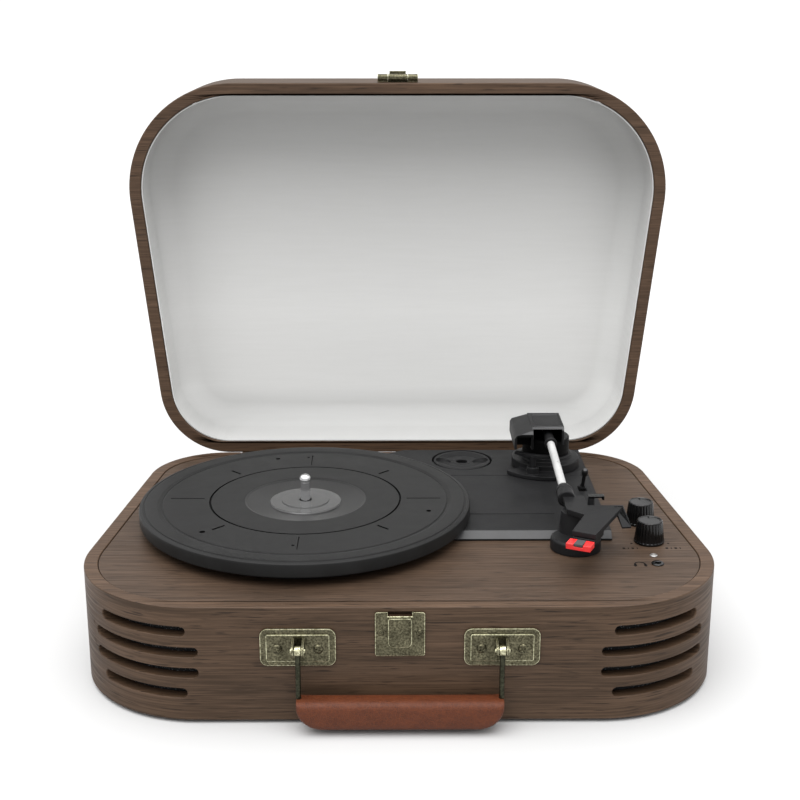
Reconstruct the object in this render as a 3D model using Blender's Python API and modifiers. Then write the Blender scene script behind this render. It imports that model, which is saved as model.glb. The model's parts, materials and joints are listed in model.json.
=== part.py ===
"""Suitcase record player, lid open.

A rounded wooden case with a hinged lid, a belt-driven platter, a tonearm on a turret, two knobs,
a sprung latch and a swinging carry handle. Every separate piece is its own object. Sizes are in
millimetres and are turned into metres as each shape is made. The case stands on its feet at z = 0.
"""

import math

import bmesh
import bpy
from mathutils import Matrix, Vector

MM = 0.001
GAP = 0.3

# Case: a rounded trapezoid in plan, wider at the front.
FRONT_WIDTH = 374.0
REAR_WIDTH = 322.0
DEPTH = 254.6
FRONT_RADIUS = 71.0
REAR_RADIUS = 48.0
WALL = 7.8
FOOT_HEIGHT = 2.0
CASE_HEIGHT = 66.0
LID_HEIGHT = 52.0
PANEL = 4.0
LID_PANEL = 6.0
PANEL_RECESS = 0.5

FRONT_Y = -DEPTH / 2
REAR_Y = DEPTH / 2
CASE_TOP = FOOT_HEIGHT + CASE_HEIGHT
BOTTOM_PANEL = FOOT_HEIGHT + 1.0
PANEL_TOP = CASE_TOP - PANEL_RECESS
LID_BOTTOM = CASE_TOP + GAP
LID_TOP = LID_BOTTOM + LID_HEIGHT

# Hinge line, just outside the rear wall and below its top, so the open lid hangs behind the case.
HINGE_Y = REAR_Y + 1.0
HINGE_Z = CASE_TOP - 2.55
HINGE_X = 95.0
HINGE_WIDTH = 30.0
KNUCKLE_RADIUS = 1.6
LEAF = 0.8

# Deck: the moulded plate that carries platter, arm and adapter.
DECK_BOTTOM = PANEL_TOP + GAP
DECK_TOP = 72.5
DECK_RIGHT = 125.6
DECK_FRONT = -35.7
DECK_REAR = 117.8
DECK_LEFT = -8.0
DECK_BEVEL = 5.1

SPINDLE_X, SPINDLE_Y = -56.8, -2.4
BORE_RADIUS = 3.75
PLATTER_RADIUS = 100.0
PLATTER_TOP = 82.0
PLATTER_RIM = 8.6
DRUM_RADIUS = 60.0
PULLEY_RADIUS = 3.5
BELT = 0.9
MOTOR_REACH = 80.0
MOTOR_ANGLE = math.radians(30)

ADAPTER_X, ADAPTER_Y, ADAPTER_RADIUS = 43.4, 96.6, 19.05

# Tonearm: vertical pivot, then a horizontal pin in the hood.
ARM_X, ARM_Y = 99.0, 87.0
ARM_PIN_Z = 98.5
ARM_DROP = math.radians(4.25)
ARM_TUBE_RADIUS = 2.5
TURRET_TOP = 82.0
HOOD_TOP = 105.2
HEADSHELL_TOP = 91.6
HEADSHELL_TURN = math.radians(-25.5)
STYLUS_X, STYLUS_Y = 101.8, -82.0
STYLUS_TIP_Z = 83.2
CUE_RADIUS = 28.0
CUE_LEVER_X, CUE_LEVER_Y = 117.7, 39.0
REST_X, REST_Y = 102.5, -46.3

KNOB_X = 147.0
VOLUME_Y = -6.5
MODE_Y = -37.0
KNOB_TOP = 81.2
LED_X, LED_Y = 146.0, -57.5
JACK_X, JACK_Y = 146.0, -70.0

SLOT_HEIGHT = 5.5
SLOT_PITCH = 12.0
SLOT_LOWEST = 17.9
SLOT_START = (4.2, -1.0, -1.0, 4.2)
SLOT_END = (48.5, 54.5, 54.5, 48.5)

LATCH_WIDTH = 26.4
THUMB_WIDTH = 12.6
HASP_Y = FRONT_Y - 3.2
HASP_Z = 72.2
HANDLE_X = 54.0
HANDLE_Y = -136.0
HANDLE_Z = 47.2
ROD_X = 53.6
ROD_RADIUS = 1.4

# The lid's outer face is the rearmost point and the grip the foremost: the frame's origin is
# midway between them, under the case.
GRIP_DEPTH = 14.0
REARMOST = HINGE_Y + LID_TOP - HINGE_Z
FOREMOST = HANDLE_Y - GRIP_DEPTH / 2
CASE_Y = -(REARMOST + FOREMOST) / 2

COLOURS = {
    "walnut": ((0.12, 0.075, 0.05), 0.55, 0.0),
    "board": ((0.30, 0.22, 0.15), 0.7, 0.0),
    "lining": ((0.82, 0.82, 0.80), 0.8, 0.0),
    "black_plastic": ((0.045, 0.045, 0.047), 0.4, 0.0),
    "gloss_black": ((0.01, 0.01, 0.01), 0.15, 0.0),
    "rubber": ((0.02, 0.02, 0.02), 0.85, 0.0),
    "mesh_cloth": ((0.015, 0.015, 0.015), 0.8, 0.0),
    "brass": ((0.22, 0.20, 0.12), 0.4, 1.0),
    "steel": ((0.55, 0.56, 0.57), 0.3, 1.0),
    "chrome": ((0.85, 0.85, 0.86), 0.1, 1.0),
    "leather": ((0.30, 0.11, 0.035), 0.5, 0.0),
    "red_plastic": ((0.80, 0.03, 0.03), 0.35, 0.0),
    "circuit": ((0.03, 0.20, 0.08), 0.5, 0.0),
    "lens": ((0.75, 0.78, 0.80), 0.2, 0.0),
}


# ---------------------------------------------------------------- scene and materials


def clear_scene():
    for obj in list(bpy.data.objects):
        bpy.data.objects.remove(obj, do_unlink=True)


def new_collection(name):
    collection = bpy.data.collections.new(name)
    bpy.context.scene.collection.children.link(collection)
    return collection


def material(name):
    found = bpy.data.materials.get(name)
    if found:
        return found
    colour, roughness, metallic = COLOURS[name]
    made = bpy.data.materials.new(name)
    made.use_nodes = True
    shader = made.node_tree.nodes["Principled BSDF"]
    shader.inputs["Base Color"].default_value = (*colour, 1.0)
    shader.inputs["Roughness"].default_value = roughness
    shader.inputs["Metallic"].default_value = metallic
    return made


def axis_empty(name, position, parent=None, rotation=(0.0, 0.0, 0.0)):
    """An empty on a joint's axis. Its position is given in the case's own millimetres."""
    empty = bpy.data.objects.new(name, None)
    PARTS.objects.link(empty)
    empty["position"] = position
    empty.parent = parent
    offset = Vector(position) - Vector(parent["position"]) if parent else Vector(position)
    empty.location = offset * MM
    empty.rotation_euler = rotation
    return empty


def part(obj, name, material_name, parent):
    """Names a finished shape, moves its origin to its parent's axis and parents it there."""
    obj.name = name
    obj.data.name = name
    obj.data.transform(Matrix.Translation(-Vector(parent["position"]) * MM))
    obj.data.materials.clear()
    obj.data.materials.append(material(material_name))
    obj.data.shade_smooth()
    obj.data.set_sharp_from_angle(angle=math.radians(30))
    obj.parent = parent
    return obj


# ---------------------------------------------------------------- shapes


def linked(data):
    obj = bpy.data.objects.new("shape", data)
    PARTS.objects.link(obj)
    return obj


def as_mesh(obj):
    """The object with its modifiers applied, or a mesh object in place of a curve."""
    graph = bpy.context.evaluated_depsgraph_get()
    mesh = bpy.data.meshes.new_from_object(obj.evaluated_get(graph))
    work = bmesh.new()
    work.from_mesh(mesh)
    bmesh.ops.remove_doubles(work, verts=work.verts, dist=1e-6)
    work.to_mesh(mesh)
    work.free()
    bpy.data.objects.remove(obj)
    return linked(mesh)


def block(size, centre, bevel=0.0, turn=0.0):
    """A box, with its edges bevelled and turned about the vertical where asked."""
    work = bmesh.new()
    bmesh.ops.create_cube(work, size=1.0)
    place = Matrix.Translation(Vector(centre) * MM) @ Matrix.Rotation(turn, 4, "Z")
    stretch = Matrix.Diagonal((*[s * MM for s in size], 1.0))
    bmesh.ops.transform(work, matrix=place @ stretch, verts=work.verts)
    mesh = bpy.data.meshes.new("block")
    work.to_mesh(mesh)
    work.free()
    obj = linked(mesh)
    if not bevel:
        return obj
    modifier = obj.modifiers.new("Bevel", "BEVEL")
    modifier.width = bevel * MM
    modifier.segments = 2
    return as_mesh(obj)


def turned(profile, centre=(0.0, 0.0, 0.0), steps=32, closed=False, tilt=None):
    """A solid of revolution. The profile's (radius, height) points run down its outer side."""
    mesh = bpy.data.meshes.new("turned")
    count = len(profile)
    edges = [(i, i + 1) for i in range(count - 1)] + ([(count - 1, 0)] if closed else [])
    mesh.from_pydata([(r * MM, 0.0, z * MM) for r, z in profile], edges, [])
    obj = linked(mesh)
    modifier = obj.modifiers.new("Screw", "SCREW")
    modifier.steps = modifier.render_steps = steps
    modifier.use_merge_vertices = True
    modifier.merge_threshold = 0.00001
    obj = as_mesh(obj)
    obj.data.transform(Matrix.Translation(Vector(centre) * MM) @ (tilt or Matrix()))
    return obj


def cylinder(radius, low, high, centre=(0.0, 0.0), steps=32):
    """An upright cylinder between two heights."""
    return turned([(0, high), (radius, high), (radius, low), (0, low)], (*centre, 0.0), steps)


def rod_along_x(radius, x_low, x_high, y, z, steps=20):
    profile = [(0, x_high), (radius, x_high), (radius, x_low), (0, x_low)]
    return turned(profile, (0.0, y, z), steps, tilt=Matrix.Rotation(math.pi / 2, 4, "Y"))


def slab(outlines, low, high):
    """A flat plate between two heights. The first outline is its edge and the others are holes."""
    curve = bpy.data.curves.new("slab", "CURVE")
    curve.dimensions = "2D"
    curve.fill_mode = "BOTH"
    curve.extrude = (high - low) / 2 * MM
    for outline in outlines:
        spline = curve.splines.new("POLY")
        spline.points.add(len(outline) - 1)
        for point, (x, y) in zip(spline.points, outline):
            point.co = (x * MM, y * MM, 0.0, 1.0)
        spline.use_cyclic_u = True
    obj = as_mesh(linked(curve))
    obj.data.transform(Matrix.Translation((0.0, 0.0, (low + high) / 2 * MM)))
    return obj


def upright(obj, y):
    """Stands a slab made in X and Y up, so that its Y becomes height and its faces look along Y."""
    obj.data.transform(Matrix.Translation((0.0, y * MM, 0.0)) @ Matrix.Rotation(math.pi / 2, 4, "X"))
    return obj


def wire(points, radius, cyclic=False):
    curve = bpy.data.curves.new("wire", "CURVE")
    curve.dimensions = "3D"
    curve.bevel_depth = radius * MM
    curve.bevel_resolution = 2
    curve.use_fill_caps = not cyclic
    spline = curve.splines.new("POLY")
    spline.points.add(len(points) - 1)
    for point, place in zip(spline.points, points):
        point.co = (*(Vector(place) * MM), 1.0)
    spline.use_cyclic_u = cyclic
    return as_mesh(linked(curve))


def boolean(target, tools, operation):
    for tool in tools:
        modifier = target.modifiers.new("Boolean", "BOOLEAN")
        modifier.operation = operation
        modifier.solver = "EXACT"
        modifier.object = tool
        CUTTERS.objects.link(tool)
        PARTS.objects.unlink(tool)
        tool.hide_render = True
        tool.display_type = "WIRE"
    result = as_mesh(target)
    for tool in tools:
        bpy.data.objects.remove(tool)
    return result


def cut(target, *tools):
    return boolean(target, tools, "DIFFERENCE")


def join(target, *tools):
    return boolean(target, tools, "UNION")


# ---------------------------------------------------------------- outlines


def arc(centre, radius, start, end, steps):
    """Points on an arc, with its angles in radians."""
    return [
        (centre[0] + radius * math.cos(a), centre[1] + radius * math.sin(a))
        for a in (start + (end - start) * i / steps for i in range(steps + 1))
    ]


def circle(centre, radius, steps=24):
    return arc(centre, radius, 0.0, 2 * math.pi * (1 - 1 / steps), steps - 1)


def rounded_rectangle(width, height, radius, centre=(0.0, 0.0), steps=4):
    points = []
    for quarter, (sx, sy) in enumerate(((1, 1), (-1, 1), (-1, -1), (1, -1))):
        corner = (centre[0] + sx * (width / 2 - radius), centre[1] + sy * (height / 2 - radius))
        points += arc(corner, radius, quarter * math.pi / 2, (quarter + 1) * math.pi / 2, steps)
    return points


SIDE_TILT = math.atan((FRONT_WIDTH - REAR_WIDTH) / 2 / DEPTH)
FRONT_ARC = (
    FRONT_WIDTH / 2 - FRONT_RADIUS * (1 + math.sin(SIDE_TILT)) / math.cos(SIDE_TILT),
    FRONT_Y + FRONT_RADIUS,
)
REAR_ARC = (
    REAR_WIDTH / 2 - REAR_RADIUS * (1 - math.sin(SIDE_TILT)) / math.cos(SIDE_TILT),
    REAR_Y - REAR_RADIUS,
)


def case_outline(inset=0.0, steps=12):
    """The case's plan outline, moved inwards by the inset."""
    right = arc(FRONT_ARC, FRONT_RADIUS - inset, -math.pi / 2, SIDE_TILT, steps)
    right += arc(REAR_ARC, REAR_RADIUS - inset, SIDE_TILT, math.pi / 2, steps)
    return right + [(-x, y) for x, y in reversed(right)]


# ---------------------------------------------------------------- case


def slot_cutter(side, index):
    """A round-ended slot, bent round a front corner and cut through the wall."""
    start, end = math.radians(SLOT_START[index]), math.radians(SLOT_END[index])
    radius = SLOT_HEIGHT / 2
    half = (end - start) / 2 * FRONT_RADIUS - radius
    ends = [(half + radius * math.cos(a), radius * math.sin(a)) for a in map(math.radians, (6, 30, 55, 90))]
    straight = [(half * (1 - i / 4), radius) for i in range(1, 8)]
    stations = ends + straight + [(-along, rise) for along, rise in reversed(ends)]
    work = bmesh.new()
    bmesh.ops.create_grid(work, x_segments=len(stations) - 1, y_segments=1, size=1.0)
    reach = FRONT_RADIUS - WALL - 3
    for vertex in work.verts:
        along, rise = stations[round((1 - vertex.co.x) / 2 * (len(stations) - 1))]
        turn = (start + end) / 2 + along / FRONT_RADIUS
        x = FRONT_ARC[0] + reach * math.sin(turn)
        z = SLOT_LOWEST + SLOT_PITCH * index + math.copysign(rise, vertex.co.y)
        vertex.co = Vector((side * x, FRONT_ARC[1] - reach * math.cos(turn), z)) * MM
    if side < 0:
        bmesh.ops.reverse_faces(work, faces=work.faces)
    mesh = bpy.data.meshes.new("slot")
    work.to_mesh(mesh)
    work.free()
    tool = linked(mesh)
    modifier = tool.modifiers.new("Solidify", "SOLIDIFY")
    modifier.thickness = (WALL + 6) * MM
    modifier.offset = 1.0
    return as_mesh(tool)


def hinge_relief(side):
    """Room in the rear wall for a hinge's knuckles."""
    low, high = HINGE_Z - 2.05, CASE_TOP + 2
    size = (HINGE_WIDTH + 1.2, 4.0, high - low)
    return block(size, (side * HINGE_X, HINGE_Y, (low + high) / 2))


def make_case(root):
    wall = slab([case_outline(), case_outline(WALL)], FOOT_HEIGHT, CASE_TOP)
    tools = [slot_cutter(side, index) for side in (-1, 1) for index in range(4)]
    tools += [hinge_relief(side) for side in (-1, 1)]
    tools.append(block((THUMB_WIDTH + 0.4, 7.0, 2.6), (0, FRONT_Y, 64.5)))
    tools.append(block((27.0, 20.0, 9.6), (-30.0, REAR_Y, 36.0)))
    tools.append(turned([(0, 12), (5, 12), (5, -12), (0, -12)], (20, REAR_Y, 36), 20,
                        tilt=Matrix.Rotation(math.pi / 2, 4, "X")))
    part(cut(wall, *tools), "case_wall", "walnut", root)

    inside = WALL + GAP
    floor = slab([case_outline(inside)], BOTTOM_PANEL, BOTTOM_PANEL + PANEL)
    part(floor, "bottom_panel", "board", root)
    holes = [
        circle((SPINDLE_X, SPINDLE_Y), 13.0),
        circle(MOTOR, 17.0),
        circle((ARM_X, ARM_Y), 13.0),
        circle((KNOB_X, VOLUME_Y), 5.0, 16),
        circle((KNOB_X, MODE_Y), 5.0, 16),
        circle((LED_X, LED_Y), 1.9, 12),
        circle((JACK_X, JACK_Y), 3.2, 16),
    ]
    panel = slab([case_outline(inside)] + holes, PANEL_TOP - PANEL, PANEL_TOP)
    part(panel, "top_panel", "walnut", root)

    for name, x, y in (
        ("foot_front_left", -118, -84),
        ("foot_front_right", 118, -84),
        ("foot_rear_left", -112, 100),
        ("foot_rear_right", 112, 100),
    ):
        top = BOTTOM_PANEL - GAP
        foot = [(0, top), (8.5, top), (8.0, 0.4), (7.4, 0), (0, 0)]
        part(turned(foot, (x, y, 0), 20), name, "rubber", root)


def make_speakers(root):
    """A curved mesh behind each row of slots, and a driver that faces out through it."""
    low, high = BOTTOM_PANEL + PANEL + 1, PANEL_TOP - PANEL - 1
    outer = FRONT_RADIUS - WALL - GAP
    for side, hand in ((-1, "left"), (1, "right")):
        start, end = math.radians(-94), math.radians(-28)
        points = arc(FRONT_ARC, outer, start, end, 14) + arc(FRONT_ARC, outer - 0.8, end, start, 14)
        sheet = slab([[(side * x, y) for x, y in points]], low, high)
        part(sheet, f"grille_{hand}", "mesh_cloth", root)

        facing = math.radians(26)
        centre = (
            side * (FRONT_ARC[0] + 49 * math.sin(facing)),
            FRONT_ARC[1] - 49 * math.cos(facing),
            (low + high) / 2,
        )
        tilt = Matrix.Rotation(side * facing, 4, "Z") @ Matrix.Rotation(math.pi / 2, 4, "X")
        cone = [(0, -6), (7, -8), (8, -9.5), (21, -1.5), (23, 1.5), (26, 1.5), (26, -0.5)]
        basket = [(23.5, -0.5), (17, -13), (19, -15), (19, -25), (0, -25)]
        part(turned(cone + basket, centre, 24, False, tilt), f"speaker_{hand}", "steel", root)


def make_sockets(root):
    """Rear sockets: twin audio output and a power inlet. The case has no cord of its own."""
    module = block((26.0, 14.0, 8.6), (-30, REAR_Y - 2, 36))
    flange = block((34.0, 1.4, 15.0), (-30, REAR_Y + GAP + 0.7, 36))
    barrels = []
    bores = []
    for x in (-37, -23):
        along = Matrix.Rotation(-math.pi / 2, 4, "X")
        profile = [(0, 9), (4.1, 9), (4.1, 0), (0, 0)]
        barrels.append(turned(profile, (x, REAR_Y + 1, 36), 16, tilt=along))
        bores.append(turned([(0, 12), (1.7, 12), (1.7, 2), (0, 2)], (x, REAR_Y + 1, 36), 12, tilt=along))
    part(cut(join(module, flange, *barrels), *bores), "rca_sockets", "black_plastic", root)

    jack = [(6.8, 1.9), (6.8, GAP), (4.7, GAP), (4.7, -14), (0, -14)]
    shell = turned([(0, 1.9)] + jack, (20, REAR_Y, 36), 20, tilt=Matrix.Rotation(-math.pi / 2, 4, "X"))
    ring = turned([(2.8, 5), (2.8, -8), (1.05, -8), (1.05, 5)], (20, REAR_Y, 36), 16, True,
                  Matrix.Rotation(-math.pi / 2, 4, "X"))
    part(cut(shell, ring), "dc_jack", "black_plastic", root)


# ---------------------------------------------------------------- deck


def deck_outline():
    """The deck's edge: its right part shows, and a round lobe carries the platter."""
    lobe = arc((SPINDLE_X, SPINDLE_Y), 88.0, math.radians(62), math.radians(339), 30)
    return [
        (DECK_RIGHT, DECK_FRONT),
        (DECK_RIGHT, DECK_REAR - 0.9),
        (DECK_RIGHT - 4.0, DECK_REAR),
        (4.0, DECK_REAR),
        (DECK_LEFT, DECK_REAR - 8.0),
    ] + lobe + [(lobe[-1][0], DECK_FRONT)]


def make_deck(root):
    holes = [circle((SPINDLE_X, SPINDLE_Y), 6.0, 20), circle(MOTOR, 6.5, 20), circle((ARM_X, ARM_Y), 9.0, 20)]
    deck = slab([deck_outline()] + holes, DECK_BOTTOM, DECK_TOP)
    slope = math.atan2(DECK_TOP - DECK_BOTTOM - 1.0, DECK_BEVEL)
    wedge = block((180, 12, 8), (0, 0, 4))
    wedge.data.transform(
        Matrix.Translation(Vector((110, DECK_FRONT, DECK_BOTTOM + 1.0)) * MM)
        @ Matrix.Rotation(slope, 4, "X")
    )
    recess = cylinder(ADAPTER_RADIUS + 1.3, DECK_TOP - 3.4, DECK_TOP + 1, (ADAPTER_X, ADAPTER_Y), 40)
    seam = block((100, 0.6, 1.0), (80, 64.8, DECK_TOP))
    bite = cylinder(15.3, DECK_BOTTOM - 1, DECK_TOP + 1, (REST_X, REST_Y), 32)
    lever_slot = block((5.0, 9.0, 12), (CUE_LEVER_X, CUE_LEVER_Y + 0.5, DECK_TOP))
    part(cut(deck, wedge, recess, seam, bite, lever_slot), "chassis_plate", "black_plastic", root)

    outside = [(ADAPTER_RADIUS, 72.4), (ADAPTER_RADIUS, 69.6), (3.8, 69.6)]
    inside = [(3.8, 71.0), (6.5, 71.4), (12, 71.4), (16, 72.4)]
    axis = axis_empty("adapter_axis", (ADAPTER_X, ADAPTER_Y, 69.4), root)
    adapter = turned(outside + inside, (ADAPTER_X, ADAPTER_Y, 0), 32, True)
    nails = [
        turned([(0, 3.0), (4, 3.0), (3.2, -0.9), (0, -0.9)], (ADAPTER_X + side * 12.5, ADAPTER_Y, 71.6), 12)
        for side in (-1, 1)
    ]
    part(cut(adapter, *nails), "adapter_45", "black_plastic", axis)


def make_platter(root):
    axis = axis_empty("platter_axis", (SPINDLE_X, SPINDLE_Y, PLATTER_TOP), root)
    top = PLATTER_TOP
    low = top - PLATTER_RIM
    inner = DRUM_RADIUS - 2.6
    boss = [(BORE_RADIUS, top - 0.6), (14.0, top - 0.6)]
    dish = [(14.6, top - 1.2), (21.4, top - 1.2), (22.0, top - 1.6), (35.4, top - 0.9)]
    plate = [(37.4, top), (85.8, top), (86.4, top - 0.5), (87.4, top - 0.5)]
    ring = [(88.4, top + 0.3), (96.2, top + 0.3), (98.8, top - 0.2)]
    rim = [(PLATTER_RADIUS, top - 1.4), (PLATTER_RADIUS, low + 0.8), (99.2, low)]
    under = [(95.2, low), (95.2, top - 3.0)]
    drum = [(DRUM_RADIUS, top - 3.0), (DRUM_RADIUS, low + 0.4), (inner, low + 0.4), (inner, top - 4.0)]
    hub = [(9.0, top - 4.0), (9.0, low + 0.4), (BORE_RADIUS, low + 0.4)]
    profile = boss + dish + plate + ring + rim + under + drum + hub
    platter = turned(profile, (SPINDLE_X, SPINDLE_Y, 0), 48, True)
    part(platter, "platter", "black_plastic", axis)

    nose = [(0, 97.7), (1.6, 97.4), (2.9, 96.4), (3.5, 94.8), (3.5, 93.4), (3.1, 92.4), (3.1, low - 0.4)]
    seat = [(8.5, low - 0.4), (8.5, DECK_TOP + GAP), (5.6, DECK_TOP + GAP), (5.6, 50), (0, 50)]
    part(turned(nose + seat, (SPINDLE_X, SPINDLE_Y, 0), 20), "spindle", "chrome", root)

    can = [(0, DECK_BOTTOM - GAP), (14, DECK_BOTTOM - GAP), (14, 44), (12, 42), (0, 42)]
    part(turned(can, (*MOTOR, 0), 24), "motor", "steel", root)
    pulley_axis = axis_empty("pulley_axis", (*MOTOR, 74.0), root)
    wheel = [(0, 78.6), (4.6, 78.6), (4.6, 77.9), (PULLEY_RADIUS, 77.5), (PULLEY_RADIUS, 74.7), (4.6, 74.3)]
    shaft = [(4.6, 73.6), (1.0, 73.6), (1.0, DECK_BOTTOM), (0, DECK_BOTTOM)]
    part(turned(wheel + shaft, (*MOTOR, 0), 16), "motor_pulley", "brass", pulley_axis)
    part(belt_loop(), "drive_belt", "rubber", root)


def belt_loop():
    """The belt: two arcs round drum and pulley, joined by their outer tangents."""
    spread = math.asin((DRUM_RADIUS - PULLEY_RADIUS) / MOTOR_REACH)
    first = MOTOR_ANGLE + math.pi / 2 - spread
    last = MOTOR_ANGLE - math.pi / 2 + spread

    def loop(clearance):
        drum = arc((SPINDLE_X, SPINDLE_Y), DRUM_RADIUS + clearance, first, last + 2 * math.pi, 32)
        return drum + arc(MOTOR, PULLEY_RADIUS + clearance, last, first, 8)

    return slab([loop(GAP + BELT), loop(GAP)], 74.9, 77.3)


# ---------------------------------------------------------------- tonearm


def swing_point(radius, degrees):
    """A point about the arm's pivot, measured from straight ahead towards the platter."""
    angle = math.radians(-90 - degrees)
    return ARM_X + radius * math.cos(angle), ARM_Y + radius * math.sin(angle)


def make_arm(root):
    centre = (ARM_X, ARM_Y)
    drum = [(4.2, TURRET_TOP), (16.6, TURRET_TOP), (17.2, TURRET_TOP - 0.6), (17.2, 79.4), (21.8, 79.0)]
    flange = [(22.6, 78.2), (22.6, DECK_TOP + GAP), (8.4, DECK_TOP + GAP), (8.4, 60), (4.2, 60)]
    turret = turned(drum + flange, (*centre, 0), 32, True)
    fan = [swing_point(34.0, d) for d in range(-10, 55, 8)] + [swing_point(18.0, d) for d in (54, 22, -10)]
    fan = slab([fan], DECK_TOP + GAP, 75.2)
    bush_at = swing_point(CUE_RADIUS, 23)
    bush = cylinder(4.0, 74.0, 80.0, bush_at, 20)
    bore = cylinder(2.15, 73.6, 81.0, bush_at, 20)
    part(cut(join(turret, fan, bush), bore), "arm_base", "black_plastic", root)

    lift_axis = axis_empty("cue_lift_axis", (*bush_at, 88.0), root)
    outer = [swing_point(CUE_RADIUS + 1.6, -5 + 5.5 * i) for i in range(11)]
    inner = [swing_point(CUE_RADIUS - 1.6, 50 - 5.5 * i) for i in range(11)]
    bar = slab([outer + inner], 86.2, 88.4)
    part(join(bar, cylinder(1.95, 74.0, 87.0, bush_at, 20)), "cue_lift", "black_plastic", lift_axis)

    lever_axis = axis_empty("cue_lever_axis", (CUE_LEVER_X, CUE_LEVER_Y, 73.6), root)
    lean = Matrix.Rotation(math.radians(33), 4, "X")
    stalk = [(0, 18.5), (1.6, 18.2), (2.0, 17.4), (2.0, 13.6), (1.3, 13.0), (1.3, -1.6), (0, -2.0)]
    stalk = turned(stalk, (CUE_LEVER_X, CUE_LEVER_Y, 73.6), 12, tilt=lean)
    hub = rod_along_x(2.2, CUE_LEVER_X - 1.4, CUE_LEVER_X + 1.4, CUE_LEVER_Y, 73.6, 16)
    part(join(stalk, hub), "cue_lever", "black_plastic", lever_axis)

    swing = axis_empty("arm_swing_axis", (*centre, TURRET_TOP), root)
    part(make_hood(), "arm_hood", "black_plastic", swing)
    part(rod_along_x(1.5, 87.6, 108.5, ARM_Y, ARM_PIN_Z), "arm_pivot_pin", "steel", swing)

    lift = axis_empty("arm_lift_axis", (ARM_X, ARM_Y, ARM_PIN_Z), swing)
    drop = Matrix.Rotation(math.pi / 2 + ARM_DROP, 4, "X")
    pin_point = (ARM_X, ARM_Y, ARM_PIN_Z)
    yoke = [(0, 29.0), (4.1, 29.0), (4.1, 26.6), (3.2, 26.0), (3.2, -5.0), (0, -5.0)]
    gimbal = turned(yoke, pin_point, 24, tilt=drop)
    gimbal = cut(gimbal, rod_along_x(1.6, ARM_X - 6, ARM_X + 6, ARM_Y, ARM_PIN_Z))
    part(gimbal, "arm_gimbal", "black_plastic", lift)
    tube = [(0, 99.0), (ARM_TUBE_RADIUS, 99.0), (ARM_TUBE_RADIUS, 29.3), (0, 29.3)]
    part(turned(tube, pin_point, 24, tilt=drop), "arm_tube", "steel", lift)
    make_headshell(lift, drop, pin_point)
    make_arm_rest(root)


def make_hood():
    """The cover that turns with the arm: an open-fronted box and a sloped block beside it."""
    low = TURRET_TOP + 0.4
    drum = [(0, 93.6), (15.0, 93.6), (15.5, 93.1), (15.5, low), (4.0, low), (4.0, 62), (0, 62)]
    drum = turned(drum, (ARM_X, ARM_Y, 0), 32)
    shell = block((21.6, 33.0, 12.2), (97.8, 82.5, HOOD_TOP - 6.1))
    cavity = block((18.6, 40.0, 14.0), (97.8, 77.0, HOOD_TOP - 1.8 - 7.0))
    shell = cut(shell, cavity)
    outline = [(75.4, 93.0), (87.6, 93.0), (87.6, HOOD_TOP - 0.3), (86.0, HOOD_TOP - 0.3)]
    outline += [(76.6, HOOD_TOP - 3.0), (75.4, HOOD_TOP - 5.0)]
    side = upright(slab([outline], -20.0, 20.0), 77.0)
    hollow = block((9.2, 14.0, 9.0), (81.6, 60.0, 96.6))
    side = cut(side, hollow)
    inset = block((17.4, 23.0, 1.0), (98.6, 83.5, HOOD_TOP + 0.1))
    bore = rod_along_x(1.8, 87.2, 110.0, ARM_Y, ARM_PIN_Z)
    return cut(join(shell, side, drum), inset, bore)


def make_headshell(lift, drop, pin_point):
    """Neck, offset head and finger lift in one, with the cartridge and its stylus below."""
    low = HEADSHELL_TOP - 3.0
    neck = [(96.9, -24.0), (109.3, -24.0), (109.6, -39.9)]
    head = [(130.5, -39.9), (107.9, -85.6), (95.6, -79.4), (105.6, -55.0), (96.6, -46.3)]
    plate = slab([neck + head], low, HEADSHELL_TOP)
    collar = [(0, 114.0), (5.2, 114.0), (5.2, 103.0), (4.4, 99.3), (0, 99.3)]
    collar = turned(collar, pin_point, 24, tilt=drop)
    finger = block((5.5, 17.0, 1.2), (0, -7.5, 0))
    finger.data.transform(
        Matrix.Translation(Vector((127.6, -43.5, HEADSHELL_TOP - 0.9)) * MM)
        @ Matrix.Rotation(math.radians(8), 4, "Z")
        @ Matrix.Rotation(math.radians(22), 4, "X")
    )
    part(join(plate, collar, finger), "headshell", "black_plastic", lift)

    def on_head(x, y, z):
        """A place on the head: x across it, y ahead of its front centre."""
        c, s = math.cos(HEADSHELL_TURN), math.sin(HEADSHELL_TURN)
        return STYLUS_X + x * c + y * s, STYLUS_Y + x * s - y * c, z

    body = block((12.5, 19.0, 3.6), on_head(0, -8.0, low - GAP - 1.8), 0.4, HEADSHELL_TURN)
    part(body, "cartridge", "black_plastic", lift)
    red = block((14.0, 8.0, 3.4), on_head(0, 6.4, low - GAP - 2.0), 0.4, HEADSHELL_TURN)
    tip = [(0, low - 3.0), (0.8, low - 3.0), (0.2, STYLUS_TIP_Z), (0, STYLUS_TIP_Z)]
    part(join(red, turned(tip, on_head(0, 5.0, 0), 8)), "stylus", "red_plastic", lift)


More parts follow.
